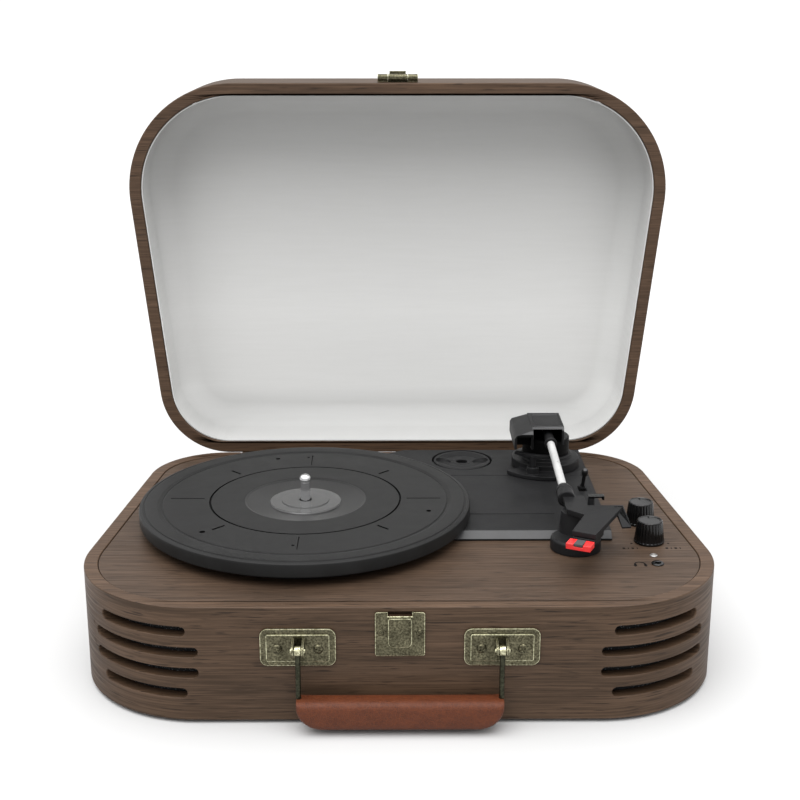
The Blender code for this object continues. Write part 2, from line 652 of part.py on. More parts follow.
def make_arm_rest(root):
    """The round pillar that the arm lies on, with a swinging clip on a post beside it."""
    low = PANEL_TOP + GAP
    foot = turned([(0, 75.0), (13.6, 75.0), (14.7, 73.8), (14.7, low), (0, low)], (REST_X, REST_Y, 0), 28)
    tower = turned([(0, 88.0), (8.0, 88.0), (9.0, 74.0), (0, 74.0)], (REST_X, -38.5, 0), 24)
    post_x, post_y, post_top = 112.9, -31.0, 92.9
    arm = block((6.0, 4.4, 4.0), (111.4, post_y - 0.6, 84.0))
    post = cylinder(2.0, 82.2, post_top, (post_x, post_y), 16)
    bore = cylinder(0.9, 86.0, post_top + 1, (post_x, post_y), 12)
    part(cut(join(foot, tower, arm, post), bore), "arm_rest", "black_plastic", root)

    tab_low, tab_high = post_top + GAP, post_top + GAP + 1.2
    axis = axis_empty("clip_axis", (post_x, post_y, tab_low), root)
    tab = block((9.4, 4.2, 1.2), (post_x + 2.8, post_y, (tab_low + tab_high) / 2))
    lip = block((1.4, 4.2, 2.4), (post_x + 6.8, post_y, tab_high - 1.2))
    pin = cylinder(0.8, 87.0, tab_low + 0.5, (post_x, post_y), 12)
    part(join(tab, lip, pin), "rest_clip", "gloss_black", axis)


# ---------------------------------------------------------------- controls


def make_controls(root):
    for name, control, y in (("volume", "volume_pot", VOLUME_Y), ("mode", "mode_switch", MODE_Y)):
        axis = axis_empty(f"{name}_axis", (KNOB_X, y, PANEL_TOP), root)
        cap = [(0, KNOB_TOP - 0.4), (6.2, KNOB_TOP - 0.4), (6.8, KNOB_TOP), (7.3, KNOB_TOP - 0.7)]
        skirt = [(8.9, PANEL_TOP + 0.6), (8.9, PANEL_TOP + GAP), (3.0, PANEL_TOP + GAP), (3.0, 55), (0, 55)]
        part(turned(cap + skirt, (KNOB_X, y, 0), 24), f"{name}_knob", "gloss_black", axis)
        body = [(4.7, PANEL_TOP - 0.2), (4.7, 62), (8.2, 62), (8.2, 52), (3.15, 52), (3.15, PANEL_TOP - 0.2)]
        part(turned(body, (KNOB_X, y, 0), 20, True), control, "steel", root)

    lens = [(0, PANEL_TOP + 0.7), (1.2, PANEL_TOP + 0.5), (1.6, PANEL_TOP - 0.2), (1.6, 58), (0, 58)]
    part(turned(lens, (LED_X, LED_Y, 0), 12), "led_lens", "lens", root)
    bezel = [(0, 54), (1.8, 54), (1.8, PANEL_TOP + 0.9), (3.6, PANEL_TOP + 0.9), (3.6, PANEL_TOP + GAP)]
    body = [(2.9, PANEL_TOP + GAP), (2.9, 62), (5.0, 62), (5.0, 50), (0, 50)]
    part(turned(bezel + body, (JACK_X, JACK_Y, 0), 16), "headphone_jack", "gloss_black", root)
    part(block((48.0, 56.0, 1.6), (134.0, -26.0, 46.0)), "circuit_board", "circuit", root)


# ---------------------------------------------------------------- hardware


def make_latch(root):
    low, high = 40.5, 65.7
    plate = block((LATCH_WIDTH, 1.2, high - low), (0, FRONT_Y - GAP - 0.6, (low + high) / 2), 0.3)
    notch = block((THUMB_WIDTH - 0.2, 4.0, 4.8), (0, FRONT_Y - 1.0, high))
    window = block((THUMB_WIDTH - 3.0, 4.0, 13.0), (0, FRONT_Y - 1.0, 53.2))
    part(cut(plate, notch, window), "latch_plate", "brass", root)

    axis = axis_empty("thumb_axis", (0, FRONT_Y, 54.8), root)
    face = FRONT_Y - GAP - 1.2 - GAP
    outline = [(-6.3, 63.0), (6.3, 63.0)]
    outline += arc((4.1, 48.6), 2.2, 0.0, -math.pi / 2, 4) + arc((-4.1, 48.6), 2.2, -math.pi / 2, -math.pi, 4)
    thumb = upright(slab([outline], -0.9, 0.9), face - 0.9)
    tongue = block((THUMB_WIDTH - 4.0, 1.6, 8.0), (0, face + 0.5, 53.9))
    part(join(thumb, tongue), "latch_thumb", "brass", axis)


def make_handle(root):
    face = FRONT_Y - GAP
    for side, hand in ((-1, "left"), (1, "right")):
        x = side * HANDLE_X
        plate = upright(slab([rounded_rectangle(40.2, 21.4, 4.0, (x, 45.6))], -0.6, 0.6), face - 0.6)
        pan = block((33.8, 1.6, 15.7), (x, face - 1.2, 45.6), 0.5)
        ears = []
        for offset in (-2.7, 2.7):
            ear = [(-face + 0.4, 40.8), (-face + 0.4, 51.6), (-HANDLE_Y - 0.5, 50.4)]
            ear += arc((-HANDLE_Y, HANDLE_Z), 3.0, math.pi / 2, -math.pi / 2, 6)
            ear = slab([ear], -0.55, 0.55)
            turn = Matrix(((0, 0, 1, 0), (-1, 0, 0, 0), (0, 1, 0, 0), (0, 0, 0, 1)))
            ear.data.transform(Matrix.Translation(((side * ROD_X + offset) * MM, 0, 0)) @ turn)
            ear.data.flip_normals()
            ears.append(ear)
        bore = rod_along_x(1.25, side * ROD_X - 5, side * ROD_X + 5, HANDLE_Y, HANDLE_Z, 16)
        part(cut(join(plate, pan, *ears), bore), f"handle_bracket_{hand}", "brass", root)
        pin = rod_along_x(1.15, side * ROD_X - 4.1, side * ROD_X + 4.1, HANDLE_Y, HANDLE_Z, 16)
        part(pin, f"handle_pin_{hand}", "brass", root)

    axis = axis_empty("handle_axis", (0, HANDLE_Y, HANDLE_Z), root)
    grip_low, grip_high = 3.0, 19.8

    def bail_path():
        bend, level = 3.0, 10.0
        left = [(-ROD_X, HANDLE_Z - 1.5), (-ROD_X, level + bend)]
        left += arc((-ROD_X + bend, level + bend), bend, math.pi, 1.5 * math.pi, 4)[1:]
        points = left + [(-x, z) for x, z in reversed(left)]
        return [(px, HANDLE_Y, pz) for px, pz in points]

    bail = wire(bail_path(), ROD_RADIUS)
    eyes, bores = [], []
    for x in (-ROD_X, ROD_X):
        eyes.append(rod_along_x(2.6, x - 1.8, x + 1.8, HANDLE_Y, HANDLE_Z, 16))
        bores.append(rod_along_x(1.3, x - 3, x + 3, HANDLE_Y, HANDLE_Z, 16))
    part(cut(join(bail, *eyes), *bores), "handle_bail", "brass", axis)

    outline = [(-55.8, grip_high), (55.8, grip_high)]
    outline += arc((55.8 - 13.5, grip_low + 13.5), 13.5, 0.0, -math.pi / 2, 6)
    outline += arc((-55.8 + 13.5, grip_low + 13.5), 13.5, -math.pi / 2, -math.pi, 6)
    grip = upright(slab([list(reversed(outline))], -GRIP_DEPTH / 2, GRIP_DEPTH / 2), HANDLE_Y)
    modifier = grip.modifiers.new("Bevel", "BEVEL")
    modifier.width = 3.6 * MM
    modifier.segments = 2
    modifier.limit_method = "ANGLE"
    modifier.angle_limit = math.radians(50)
    grip = as_mesh(grip)
    tunnel = wire(bail_path(), ROD_RADIUS + GAP)
    part(cut(grip, tunnel), "handle_grip", "leather", axis)


# ---------------------------------------------------------------- lid


def hinge_leaf(side, sign, risers):
    """A hinge leaf flat on the rear wall, with knuckles at the given x ranges."""
    x = side * HINGE_X
    clear = KNUCKLE_RADIUS + 0.35
    length = 13.0
    middle = HINGE_Z + sign * (clear + length / 2)
    y = REAR_Y + GAP + LEAF / 2
    leaf = block((HINGE_WIDTH, LEAF, length), (x, y, middle))
    tools = []
    bores = []
    for low, high in risers:
        mid, width = x + (low + high) / 2, high - low
        tools.append(block((width, LEAF, clear + 1.0), (mid, y, HINGE_Z + sign * (clear + 1.0) / 2)))
        tools.append(rod_along_x(KNUCKLE_RADIUS, x + low, x + high, HINGE_Y, HINGE_Z, 16))
        bores.append(rod_along_x(0.95, x + low - 1, x + high + 1, HINGE_Y, HINGE_Z, 12))
    return cut(join(leaf, *tools), *bores)


def make_lid(root):
    lid = axis_empty("lid_axis", (0, HINGE_Y, HINGE_Z), root, (-math.pi / 2, 0.0, 0.0))
    wall = slab([case_outline(), case_outline(WALL)], LID_BOTTOM, LID_TOP)
    part(wall, "lid_wall", "walnut", lid)
    inside = WALL + GAP
    panel = slab([case_outline(inside)], LID_TOP - PANEL_RECESS - LID_PANEL, LID_TOP - PANEL_RECESS)
    part(panel, "lid_panel", "walnut", lid)
    back = LID_TOP - PANEL_RECESS - LID_PANEL - GAP
    lining = slab([case_outline(inside), case_outline(inside + 0.9)], LID_BOTTOM + 1.0, back - 0.5)
    part(join(lining, slab([case_outline(inside)], back - 1.0, back)), "lid_lining", "lining", lid)

    outer, middle = ((-15.0, -5.2), (5.2, 15.0)), ((-4.9, 4.9),)
    for side, hand in ((-1, "left"), (1, "right")):
        part(hinge_leaf(side, -1, outer), f"hinge_base_{hand}", "brass", root)
        pin = rod_along_x(0.85, side * HINGE_X - 15.4, side * HINGE_X + 15.4, HINGE_Y, HINGE_Z, 12)
        part(pin, f"hinge_pin_{hand}", "brass", root)
        part(hinge_leaf(side, 1, middle), f"hinge_lid_{hand}", "brass", lid)

    y = FRONT_Y - GAP - 0.5
    half = THUMB_WIDTH / 2
    plate = block((LATCH_WIDTH, 1.0, 14.0), (0, y, 82.0), 0.25)
    tools = []
    for low, high in ((-LATCH_WIDTH / 2, -half - 0.3), (half + 0.3, LATCH_WIDTH / 2)):
        tools.append(block((high - low, 1.0, 6.0), ((low + high) / 2, y, 74.6)))
        tools.append(rod_along_x(2.2, low, high, HASP_Y, HASP_Z, 20))
    bore = rod_along_x(0.95, -20, 20, HASP_Y, HASP_Z, 12)
    part(cut(join(plate, *tools), bore), "lid_latch_plate", "brass", lid)

    hasp_axis = axis_empty("hasp_axis", (0, HASP_Y, HASP_Z), lid)
    barrel = rod_along_x(2.2, -half, half, HASP_Y, HASP_Z, 20)
    stub = rod_along_x(0.85, -12.6, 12.6, HASP_Y, HASP_Z, 12)
    tongue = block((THUMB_WIDTH - 0.6, 1.2, 8.2), (0, HASP_Y - 0.4, HASP_Z + 4.1))
    hook = block((THUMB_WIDTH - 1.8, 3.6, 1.2), (0, HASP_Y - 2.0, HASP_Z + 7.6))
    part(join(barrel, stub, tongue, hook), "latch_hasp", "brass", hasp_axis)


# ---------------------------------------------------------------- assembly

MOTOR = (SPINDLE_X + MOTOR_REACH * math.cos(MOTOR_ANGLE), SPINDLE_Y + MOTOR_REACH * math.sin(MOTOR_ANGLE))

clear_scene()
PARTS = new_collection("suitcase_record_player")
CUTTERS = new_collection("cutters")
CUTTERS.hide_render = True

player = axis_empty("player", (0.0, 0.0, 0.0))
player.location = (0.0, CASE_Y * MM, 0.0)
make_case(player)
make_speakers(player)
make_sockets(player)
make_deck(player)
make_platter(player)
make_arm(player)
make_controls(player)
make_latch(player)
make_handle(player)
make_lid(player)
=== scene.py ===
"""The looks of the suitcase record player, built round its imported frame.

Sizes are in millimetres, measured from the middle of the case at floor level: x right, y back, z up.
Lid pieces are shaped with the lid shut and then swung open about the hinge line.
"""

import json
from math import atan, atan2, copysign, cos, hypot, pi, radians, sin, sqrt

import bmesh
import bpy
import numpy as np
from mathutils import Matrix, Vector


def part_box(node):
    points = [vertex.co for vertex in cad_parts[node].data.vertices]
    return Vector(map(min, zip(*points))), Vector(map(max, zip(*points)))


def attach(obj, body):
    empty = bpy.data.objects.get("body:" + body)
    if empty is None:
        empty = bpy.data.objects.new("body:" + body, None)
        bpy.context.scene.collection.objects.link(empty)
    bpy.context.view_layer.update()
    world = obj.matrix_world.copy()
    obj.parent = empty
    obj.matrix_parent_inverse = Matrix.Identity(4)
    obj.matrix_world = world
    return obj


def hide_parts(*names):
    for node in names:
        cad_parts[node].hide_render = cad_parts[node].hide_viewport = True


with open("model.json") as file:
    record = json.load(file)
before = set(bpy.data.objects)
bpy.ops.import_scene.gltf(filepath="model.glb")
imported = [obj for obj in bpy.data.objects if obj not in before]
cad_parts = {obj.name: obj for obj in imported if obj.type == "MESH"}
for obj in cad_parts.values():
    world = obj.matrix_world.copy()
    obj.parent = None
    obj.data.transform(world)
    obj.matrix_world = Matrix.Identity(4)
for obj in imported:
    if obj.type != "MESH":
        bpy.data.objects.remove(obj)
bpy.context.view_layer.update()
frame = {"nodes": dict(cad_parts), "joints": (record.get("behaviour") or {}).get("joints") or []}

MM = 0.001


def shift(x, y, z):
    """A move, in millimetres."""
    return Matrix.Translation(Vector((x, y, z)) * MM)


def turn_about(axis, degrees):
    return Matrix.Rotation(radians(degrees), 4, axis)


def corners(node):
    """A CAD node's lowest and highest corners, in millimetres from the case's middle."""
    low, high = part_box(node)
    return low / MM - CASE_CENTRE, high / MM - CASE_CENTRE


def middle(node):
    low, high = corners(node)
    return (low + high) / 2


def joint_place(name):
    """Where a joint's axis passes, in millimetres from the case's middle."""
    found = next(j for j in frame["joints"] if j["name"] == name)
    return Vector(found["pos_m"]) / MM - CASE_CENTRE


# The frame's own origin is off the case's middle by CASE_Y.
CASE_Y = sum(p.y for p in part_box("case_wall")) / 2 / MM
CASE_CENTRE = Vector((0.0, CASE_Y, 0.0))
CASE_LOW, CASE_HIGH = corners("case_wall")
FRONT_Y, REAR_Y = CASE_LOW.y, CASE_HIGH.y
CASE_BOTTOM, CASE_TOP = CASE_LOW.z, CASE_HIGH.z
PANEL_LOW, PANEL_HIGH = corners("top_panel")
PANEL_TOP = PANEL_HIGH.z
FLOOR_PANEL = corners("bottom_panel")
GAP = 0.3
SIDES = ((-1, "left"), (1, "right"))

# The plan outline, wider at the front, as its corners would be without their rounding.
FRONT_WIDTH, REAR_WIDTH = 374.0, 322.0
FRONT_RADIUS, REAR_RADIUS = 71.0, 48.0
WALL = 7.8
SIDE_TILT = atan((FRONT_WIDTH - REAR_WIDTH) / 2 / (REAR_Y - FRONT_Y))
ARC_STEPS = 40
FRONT_ARC = (
    FRONT_WIDTH / 2 - FRONT_RADIUS * (1 + sin(SIDE_TILT)) / cos(SIDE_TILT),
    FRONT_Y + FRONT_RADIUS,
)
REAR_ARC = (
    REAR_WIDTH / 2 - REAR_RADIUS * (1 - sin(SIDE_TILT)) / cos(SIDE_TILT),
    REAR_Y - REAR_RADIUS,
)

HINGE = joint_place("lid_hinge")
HINGE.y = REAR_Y + 1.0
LID_BOTTOM = CASE_TOP + GAP
LID_HEIGHT = corners("lid_wall")[1].y - corners("lid_wall")[0].y
LID_TOP = LID_BOTTOM + LID_HEIGHT
LID_OPEN = shift(0, HINGE.y, HINGE.z) @ turn_about("X", -90) @ shift(0, -HINGE.y, -HINGE.z)

SPINDLE = middle("spindle")
PLATTER_TOP = joint_place("platter_spin").z
ADAPTER = middle("adapter_45")
ARM = joint_place("arm_lift")
ARM_DROP = radians(4.25)
ARM_FOOT, SPINDLE_FOOT = (ARM.x, ARM.y, 0), (SPINDLE.x, SPINDLE.y, 0)
DECK_LOW, DECK_HIGH = corners("chassis_plate")
DECK_TOP = DECK_HIGH.z
REST = Vector((102.5, -46.3, 0.0))
CLIP = joint_place("clip_turn")
HANDLE = joint_place("handle_swing")
KNOB_X, VOLUME_Y, MODE_Y = 147.0, -6.5, -37.0
LENS = (146.0, -57.5)
JACK = (146.0, -70.0)
SOCKET_X, INLET_X, SOCKET_Z = -30, 20, 36
HINGE_X = 95.0
HINGE_CLEARANCE = 1.95
ROD_X = 53.6


# ---------------------------------------------------------------- materials


class Finish:
    """A Principled material, with the node chains that its detail is made from."""

    def __init__(self, name, colour, roughness, metallic=0.0, **sockets):
        self.material = bpy.data.materials.new(name)
        self.material.use_nodes = True
        self.tree = self.material.node_tree
        self.shader = self.tree.nodes["Principled BSDF"]
        self.shader.inputs["Base Color"].default_value = (*colour, 1.0)
        self.shader.inputs["Roughness"].default_value = roughness
        self.shader.inputs["Metallic"].default_value = metallic
        for socket, value in sockets.items():
            self.shader.inputs[socket.replace("_", " ")].default_value = value

    def add(self, kind, **settings):
        node = self.tree.nodes.new("ShaderNode" + kind)
        for setting, value in settings.items():
            setattr(node, setting, value)
        return node

    def feed(self, socket, source):
        self.tree.links.new(source, self.shader.inputs[socket])

    def place(self, scale=(1.0, 1.0, 1.0), grain=False):
        """Coordinates in metres times the scale: the object's own, or its grain map's."""
        source = self.add("UVMap", uv_map="grain") if grain else self.add("TexCoord")
        mapping = self.add("Mapping")
        mapping.inputs["Scale"].default_value = scale
        self.tree.links.new(source.outputs["UV" if grain else "Object"], mapping.inputs["Vector"])
        return mapping.outputs["Vector"]

    def noise(self, vector, scale=1.0, detail=3.0, rough=0.5, warp=0.0):
        node = self.add("TexNoise")
        self.tree.links.new(vector, node.inputs["Vector"])
        settings = {"Scale": scale, "Detail": detail, "Roughness": rough, "Distortion": warp}
        for socket, value in settings.items():
            node.inputs[socket].default_value = value
        return node.outputs["Fac"]

    def cells(self, vector, scale, feature="F1"):
        node = self.add("TexVoronoi", feature=feature)
        self.tree.links.new(vector, node.inputs["Vector"])
        node.inputs["Scale"].default_value = scale
        return node.outputs["Distance"]

    def waves(self, vector, scale, direction, warp=0.0):
        node = self.add("TexWave", bands_direction=direction)
        self.tree.links.new(vector, node.inputs["Vector"])
        node.inputs["Scale"].default_value = scale
        node.inputs["Distortion"].default_value = warp
        return node.outputs["Fac"]

    def ramp(self, value, *stops):
        """Stops are (position, grey or colour), in order."""
        node = self.add("ValToRGB")
        self.tree.links.new(value, node.inputs["Fac"])
        elements = node.color_ramp.elements
        while len(elements) < len(stops):
            elements.new(0.5)
        for element, (position, colour) in zip(elements, stops):
            element.position = position
            element.color = (colour,) * 3 + (1.0,) if isinstance(colour, float) else (*colour, 1.0)
        return node.outputs["Color"]

    def mix(self, factor, first, second, mode="MIX"):
        node = self.add("Mix", data_type="RGBA", blend_type=mode)
        for socket, value in ((0, factor), (6, first), (7, second)):
            if isinstance(value, (int, float)):
                node.inputs[socket].default_value = value
            elif isinstance(value, tuple):
                node.inputs[socket].default_value = (*value, 1.0)
            else:
                self.tree.links.new(value, node.inputs[socket])
        return node.outputs[2]

    def tint(self, source, low, high, first, second):
        """Goes from one colour to another as the source rises between two values."""
        return self.mix(self.ramp(source, (low, 0.0), (high, 1.0)), first, second)

    def bump(self, height, depth, strength=1.0):
        """Relief of the given depth in millimetres."""
        node = self.add("Bump")
        node.inputs["Strength"].default_value = strength
        node.inputs["Distance"].default_value = depth * MM
        self.tree.links.new(height, node.inputs["Height"])
        self.feed("Normal", node.outputs["Normal"])


def walnut(name, dark, light, contrast=1.0):
    """Veneer: broad figure, fine fibres and short dark pores, all drawn out along the grain."""
    f = Finish(name, light, 0.5, Specular_IOR_Level=0.22)
    figure = f.noise(f.place((7, 120, 1), grain=True), 1.0, 4.0, 0.55, 0.9)
    fibres = f.noise(f.place((22, 950, 1), grain=True), 1.0, 3.0, 0.6)
    pores = f.noise(f.place((60, 820, 1), grain=True), 1.0, 1.5, 0.5)
    patches = f.noise(f.place((5, 14, 1), grain=True), 1.0, 2.0)
    low, high = 0.5 - 0.22 / contrast, 0.5 + 0.22 / contrast
    body = f.tint(figure, low, high, dark, light)
    middle_tone = tuple((a + b) / 2 for a, b in zip(dark, light))
    body = f.mix(f.ramp(fibres, (0.3, 0.0), (0.7, 0.6)), body, middle_tone)
    body = f.mix(f.ramp(fibres, (0.42, 0.55), (0.62, 0.0)), body, tuple(c * 0.62 for c in dark))
    body = f.mix(f.ramp(pores, (0.3, 0.75), (0.4, 0.0)), body, tuple(c * 0.35 for c in dark))
    shade = f.ramp(patches, (0.3, 0.82), (0.7, 1.08))
    f.feed("Base Color", f.mix(1.0, body, shade, "MULTIPLY"))
    f.feed("Roughness", f.ramp(fibres, (0.3, 0.62), (0.7, 0.44)))
    f.bump(f.mix(0.5, fibres, pores), 0.12, 0.5)
    return f.material


def moulded(name, colour, roughness, grain=0.05, scale=2600.0, **sockets):
    """Moulded plastic with a fine spark-eroded surface and faint handling marks."""
    f = Finish(name, colour, roughness, **sockets)
    fine = f.noise(f.place(), scale, 2.0, 0.6)
    broad = f.noise(f.place(), 45.0, 4.0, 0.6)
    lighter = tuple(min(1.0, c * 1.16) for c in colour)
    darker = tuple(c * 0.88 for c in colour)
    f.feed("Base Color", f.tint(broad, 0.35, 0.65, darker, lighter))
    low, high = max(0.02, roughness - 0.06), min(1.0, roughness + 0.08)
    f.feed("Roughness", f.ramp(broad, (0.3, low), (0.7, high)))
    f.bump(fine, grain, 0.5)
    return f.material


def brushed(name, colour, roughness):
    """Bare metal with fine straight brush lines."""
    f = Finish(name, colour, roughness, 1.0)
    lines = f.noise(f.place((60, 60, 2500)), 1.0, 3.0, 0.6)
    darker, lighter = tuple(c * 0.85 for c in colour), tuple(min(1.0, c * 1.1) for c in colour)
    f.feed("Base Color", f.mix(lines, darker, lighter))
    f.feed("Roughness", f.ramp(lines, (0.3, roughness * 0.7), (0.7, roughness * 1.35)))
    f.bump(lines, 0.02, 0.3)
    return f.material


def antique_brass(name, dark, light, spread):
    """Brass darkened in cloudy patches, speckled with brighter metal."""
    f = Finish(name, dark, 0.42, 1.0)
    specks = f.noise(f.place(), 900.0, 3.0, 0.65)
    clouds = f.noise(f.place(), 140.0, 3.0, 0.6)
    body = f.tint(specks, 0.5 - spread, 0.5 + spread, dark, light)
    body = f.mix(f.ramp(clouds, (0.35, 0.5), (0.65, 0.0)), body, tuple(c * 0.5 for c in dark))
    f.feed("Base Color", body)
    f.feed("Roughness", f.ramp(specks, (0.3, 0.55), (0.7, 0.3)))
    f.bump(specks, 0.08, 0.6)
    return f.material


def pebbled_leather():
    """Tan leather: small dark pebbles between paler creases, with long fold lines."""
    f = Finish("tan_leather", (0.12, 0.035, 0.012), 0.42, Specular_IOR_Level=0.3)
    pebbles = f.cells(f.place((1, 1, 1)), 1150.0, "DISTANCE_TO_EDGE")
    large = f.cells(f.place((1, 1, 0.7)), 420.0, "DISTANCE_TO_EDGE")
    tone = f.noise(f.place(), 160.0, 4.0, 0.6)
    body = f.tint(tone, 0.35, 0.65, (0.055, 0.0125, 0.004), (0.085, 0.02, 0.0062))
    body = f.mix(f.ramp(pebbles, (0.0, 0.7), (0.16, 0.0)), body, (0.13, 0.034, 0.0095))
    body = f.mix(f.ramp(large, (0.0, 0.35), (0.07, 0.0)), body, (0.155, 0.043, 0.012))
    f.feed("Base Color", body)
    f.feed("Roughness", f.ramp(pebbles, (0.0, 0.62), (0.3, 0.4)))
    relief = f.mix(0.35, f.ramp(pebbles, (0.0, 0.0), (0.3, 1.0)), f.ramp(large, (0.0, 0.0), (0.15, 1.0)))
    f.bump(relief, 0.22, 0.6)
    return f.material


def linen():
    """The lid's white lining: a fine plain weave with slubs, with painted shade at its foot and towards the
    top and a little painted light between.
    """
    f = Finish("white_lining", (0.6, 0.6, 0.59), 0.9, Specular_IOR_Level=0.1)
    across = f.waves(f.place(), 520.0, "X", 1.2)
    along = f.waves(f.place(), 520.0, "Z", 1.2)
    weave = f.mix(0.5, across, along)
    slubs = f.noise(f.place((30, 30, 420)), 1.0, 3.0, 0.6)
    body = f.tint(slubs, 0.3, 0.7, (0.594, 0.594, 0.585), (0.608, 0.608, 0.6))
    body = f.mix(f.ramp(weave, (0.0, 0.14), (0.5, 0.0)), body, (0.47, 0.47, 0.464))
    place = f.add("TexCoord")
    split = f.add("SeparateXYZ")
    f.tree.links.new(place.outputs["Generated"], split.inputs[0])
    # Painted shade along the lining's height: darker at the foot and under the lid's top, a little painted
    # light between.
    painted_shade_ramp = f.ramp(split.outputs["Z"], (0.02, 0.78), (0.12, 1.12), (0.35, 1.15), (0.85, 0.76))
    f.feed("Base Color", f.mix(1.0, body, painted_shade_ramp, "MULTIPLY"))
    f.bump(weave, 0.1, 0.45)
    return f.material


def speaker_cloth():
    """Dark mesh behind the slots, dotted with paler threads."""
    f = Finish("speaker_mesh", (0.012, 0.012, 0.013), 0.7)
    dots = f.cells(f.place(grain=True), 900.0)
    body = f.mix(f.ramp(dots, (0.0, 1.0), (0.3, 0.0)), (0.005, 0.005, 0.006), (0.3, 0.33, 0.36))
    f.feed("Base Color", body)
    f.bump(f.ramp(dots, (0.1, 1.0), (0.5, 0.0)), 0.4, 0.8)
    return f.material


def plain_board():
    """Dark stained fibreboard under the case."""
    f = Finish("fibreboard", (0.05, 0.033, 0.022), 0.75)
    fibres = f.noise(f.place((260, 260, 260)), 1.0, 5.0, 0.7)
    f.feed("Base Color", f.tint(fibres, 0.35, 0.65, (0.035, 0.022, 0.015), (0.075, 0.05, 0.034)))
    f.bump(fibres, 0.15, 0.5)
    return f.material


def circuit_board():
    """Green lacquer over branching tracks."""
    f = Finish("circuit_green", (0.02, 0.16, 0.06), 0.4)
    tracks = f.cells(f.place((1, 1, 0)), 260.0, "DISTANCE_TO_EDGE")
    f.feed("Base Color", f.tint(tracks, 0.03, 0.05, (0.05, 0.32, 0.12), (0.015, 0.13, 0.05)))
    f.bump(tracks, 0.05, 0.4)
    return f.material


def turned_ring():
    """The platter's machined ring: fine circular cuts that stretch each highlight."""
    f = Finish("turned_ring", (0.05, 0.05, 0.05), 0.3, 0.85, Anisotropic=0.85)
    tangent = f.add("Tangent", direction_type="RADIAL", axis="Z")
    f.feed("Tangent", tangent.outputs["Tangent"])
    speckle = f.noise(f.place(), 1400.0, 2.0)
    f.feed("Base Color", f.tint(speckle, 0.3, 0.7, (0.045, 0.045, 0.045), (0.06, 0.06, 0.06)))
    return f.material


def dusty_rubber():
    f = Finish("foot_rubber", (0.02, 0.02, 0.02), 0.7)
    dust = f.noise(f.place(), 700.0, 4.0, 0.7)
    f.feed("Base Color", f.tint(dust, 0.4, 0.7, (0.014, 0.014, 0.014), (0.04, 0.04, 0.038)))
    f.bump(dust, 0.1, 0.5)
    return f.material


M = {
    "band": walnut("walnut_band", (0.044, 0.0255, 0.0138), (0.122, 0.074, 0.046)),
    "rim": walnut("walnut_rim", (0.058, 0.0335, 0.019), (0.128, 0.077, 0.048), 0.8),
    "top": walnut("walnut_top", (0.042, 0.0255, 0.0155), (0.106, 0.067, 0.044)),
    "board": plain_board(),
    "plastic": moulded("deck_plastic", (0.013, 0.013, 0.0135), 0.5, Specular_IOR_Level=0.13),
    "platter": moulded("platter_plastic", (0.015, 0.015, 0.015), 0.45, 0.03, Specular_IOR_Level=0.13),
    "ring": turned_ring(),
    "disc": moulded("platter_disc", (0.045, 0.045, 0.045), 0.16, 0.01, Specular_IOR_Level=0.6),
    "arm": moulded("arm_plastic", (0.012, 0.012, 0.0125), 0.42, Specular_IOR_Level=0.13),
    # Paler plastic: the colour of small pale parts, and a painted highlight on bevels that face the light.
    "pale": moulded("pale_plastic_and_painted_highlight", (0.06, 0.06, 0.061), 0.4, Specular_IOR_Level=0.2),
    "gloss": moulded("gloss_black", (0.003, 0.003, 0.003), 0.14, 0.004, 300.0, Specular_IOR_Level=0.35),
    # Near-black for painted shade in grooves, slits and hollows.
    "painted_shade_black": moulded("painted_shade_black_finish", (0.002, 0.002, 0.002), 0.6, Specular_IOR_Level=0.1),
    "red": moulded("stylus_red", (0.62, 0.02, 0.02), 0.35, 0.02),
    "lens": moulded("lamp_lens", (0.2, 0.19, 0.18), 0.15, 0.004),
    "ink": moulded("printed_ink", (0.006, 0.005, 0.0045), 0.6, 0.01, Specular_IOR_Level=0.1),
    "white": moulded("white_plastic", (0.55, 0.55, 0.53), 0.35, 0.02),
    "chrome": brushed("chrome", (0.82, 0.82, 0.83), 0.12),
    "tube": moulded("arm_tube_silver", (0.5, 0.5, 0.495), 0.3, 0.01, Metallic=0.15),
    "steel": brushed("inner_steel", (0.5, 0.5, 0.5), 0.35),
    "gold": brushed("socket_plating", (0.75, 0.6, 0.28), 0.25),
    "brass": antique_brass("antique_brass", (0.055, 0.05, 0.031), (0.215, 0.2, 0.128), 0.14),
    # Bright brass for edges, eyes and pins; on edges and eyes it is partly wear, partly painted highlight.
    "worn": antique_brass("bright_brass_finish", (0.3, 0.285, 0.17), (0.9, 0.88, 0.62), 0.12),
    "rod": antique_brass("dark_rod", (0.03, 0.032, 0.022), (0.09, 0.09, 0.06), 0.15),
    "leather": pebbled_leather(),
    "lining": linen(),
    "mesh": speaker_cloth(),
    "circuit": circuit_board(),
    "rubber": dusty_rubber(),
}


# ---------------------------------------------------------------- shapes


def linked(mesh):
    obj = bpy.data.objects.new("shape", mesh)
    bpy.context.scene.collection.objects.link(obj)
    return obj


def as_mesh(obj):
    """The object with its modifiers applied, or a mesh object in place of a curve."""
    graph = bpy.context.evaluated_depsgraph_get()
    mesh = bpy.data.meshes.new_from_object(obj.evaluated_get(graph))
    work = bmesh.new()
    work.from_mesh(mesh)
    bmesh.ops.remove_doubles(work, verts=work.verts, dist=2e-6)
    work.to_mesh(mesh)
    work.free()
    bpy.data.objects.remove(obj)
    return linked(mesh)


